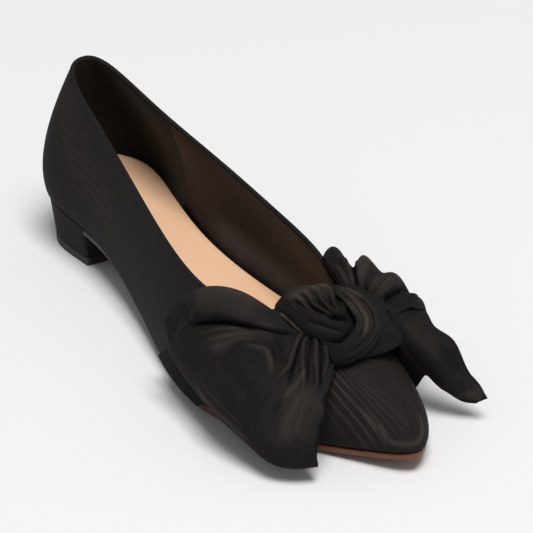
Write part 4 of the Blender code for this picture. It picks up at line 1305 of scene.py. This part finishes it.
def band_points(table, lean):
    """Grid of a band over the knot, along by across, its crown leaning to one edge."""
    rows = table_rows(table, BAND_COLUMNS, BAND_POINTS)
    middle = np.hstack([rows["along"], rows["across"], rows["height"]])
    run = unit(np.gradient(middle, axis=0))
    side = unit(np.cross(middle - KNOT_HEART, run))
    away = np.cross(run, side)
    share = np.linspace(-1, 1, BAND_ACROSS)
    lift = rows["crown"] * (1 - 2 * ((share - lean) / (1 + abs(lean))) ** 2)
    points = middle[:, None] + side[:, None] * (rows["half_width"] * share)[..., None]
    return points + away[:, None] * lift[..., None]


class BOWFLAT_OT_bow_knot(bpy.types.Operator):
    """Bow knot: the ribbon wrapped round itself, with its lip and its folds"""

    bl_idname = "bowflat.bow_knot"
    bl_label = "Bow knot"

    def execute(self, context):
        points, weight = knot_points()
        shine = fold_shine(points, KNOT_FOLDS, KNOT_LIGHTS, len(points))
        points = folded(points, KNOT_FOLDS, weight, len(points), KNOT_RIPPLE)
        measures = [np.linspace(0, size, count) for size, count in zip(KNOT_FLAT, points.shape)]
        flat = np.stack(np.meshgrid(*measures, indexing="ij"), axis=-1)
        mesh = bend_grid(points, flat, marks=shine)
        piece = place_piece("ribbon_knot", mesh, [cloth_of(context, *RIBBON_CLOTH)], "bow_knot")
        for name, table, folds, lights, lean, cut in (
            ("ribbon_knot_wrap", KNOT_WRAP, KNOT_WRAP_FOLDS, KNOT_WRAP_LIGHTS, 0.0, KNOT_WRAP_CUT),
            ("ribbon_knot_lip", KNOT_LIP, KNOT_LIP_FOLDS, KNOT_LIP_LIGHTS, LIP_LEAN, KNOT_LIP_CUT),
        ):
            points = band_points(table, lean)
            shine = fold_shine(points, folds, lights, len(points))
            points = folded(points, folds, np.ones(points.shape[:2]), len(points), BAND_RIPPLE)
            flat = flat_measures(points, FLAT_COLUMN, FLAT_ROW)
            finish_ribbon(context, name, points, flat, "bow_knot", shine)
        return {"FINISHED"}


def facing(place, aim):
    """Rotation that turns a lamp or camera at a place towards its aim."""
    return (Vector(aim) - Vector(place)).to_track_quat("-Z", "Y").to_euler()


class BOWFLAT_OT_stage(bpy.types.Operator):
    """Stage: pale floor, soft studio light and the camera"""

    bl_idname = "bowflat.stage"
    bl_label = "Stage"

    def execute(self, context):
        scene = context.scene
        mesh = bmesh.new()
        bmesh.ops.create_grid(mesh, x_segments=FLOOR_CELLS, y_segments=FLOOR_CELLS, size=FLOOR_HALF)
        data = bpy.data.meshes.new("floor")
        mesh.to_mesh(data)
        mesh.free()
        data.materials.append(floor_paper(scene.bow_flat_colours))
        floor = bpy.data.objects.new("floor", data)
        scene.collection.objects.link(floor)

        world = bpy.data.worlds.new("studio")
        world.use_nodes = True
        world.node_tree.nodes["Background"].inputs["Color"].default_value = (1, 1, 1, 1)
        world.node_tree.nodes["Background"].inputs["Strength"].default_value = WORLD_LIGHT
        scene.world = world

        light = bpy.data.lights.new("overhead_softbox", "AREA")
        light.shape = "SQUARE"
        light.size = SOFTBOX_SIZE
        light.energy = SOFTBOX_POWER
        lamp = bpy.data.objects.new("overhead_softbox", light)
        lamp.location = SOFTBOX_PLACE
        lamp.rotation_euler = facing(SOFTBOX_PLACE, SOFTBOX_AIM)
        scene.collection.objects.link(lamp)

        camera = bpy.data.cameras.new("camera")
        camera.sensor_width = SENSOR_WIDTH
        camera.lens = CAMERA_LENS
        seen = bpy.data.objects.new("camera", camera)
        seen.location = CAMERA_PLACE
        seen.rotation_euler = facing(CAMERA_PLACE, CAMERA_AIM)
        scene.collection.objects.link(seen)
        scene.camera = seen
        scene.view_settings.view_transform = "Standard"
        return {"FINISHED"}


class BOWFLAT_PT_panel(bpy.types.Panel):
    """Lists the shoe's operators"""

    bl_idname = "BOWFLAT_PT_panel"
    bl_label = "Bow flat"
    bl_space_type = "VIEW_3D"
    bl_region_type = "UI"
    bl_category = "Bow flat"

    def draw(self, context):
        for operator in OPERATORS:
            self.layout.operator(operator.bl_idname)


GROUPS = (BowFlatColours, BowFlatSizes)
OPERATORS = (
    BOWFLAT_OT_upper,
    BOWFLAT_OT_insole,
    BOWFLAT_OT_outsole,
    BOWFLAT_OT_heel,
    BOWFLAT_OT_bow_loops,
    BOWFLAT_OT_bow_tails,
    BOWFLAT_OT_bow_knot,
    BOWFLAT_OT_stage,
)


def register():
    for kind in (*GROUPS, *OPERATORS, BOWFLAT_PT_panel):
        bpy.utils.register_class(kind)
    bpy.types.Scene.bow_flat_colours = bpy.props.PointerProperty(type=BowFlatColours)
    bpy.types.Scene.bow_flat_sizes = bpy.props.PointerProperty(type=BowFlatSizes)


def unregister():
    del bpy.types.Scene.bow_flat_sizes
    del bpy.types.Scene.bow_flat_colours
    for kind in reversed((*GROUPS, *OPERATORS, BOWFLAT_PT_panel)):
        bpy.utils.unregister_class(kind)


def main():
    register()
    for operator in OPERATORS:
        group, name = operator.bl_idname.split(".")
        getattr(getattr(bpy.ops, group), name)()


if __name__ == "__main__":
    main()
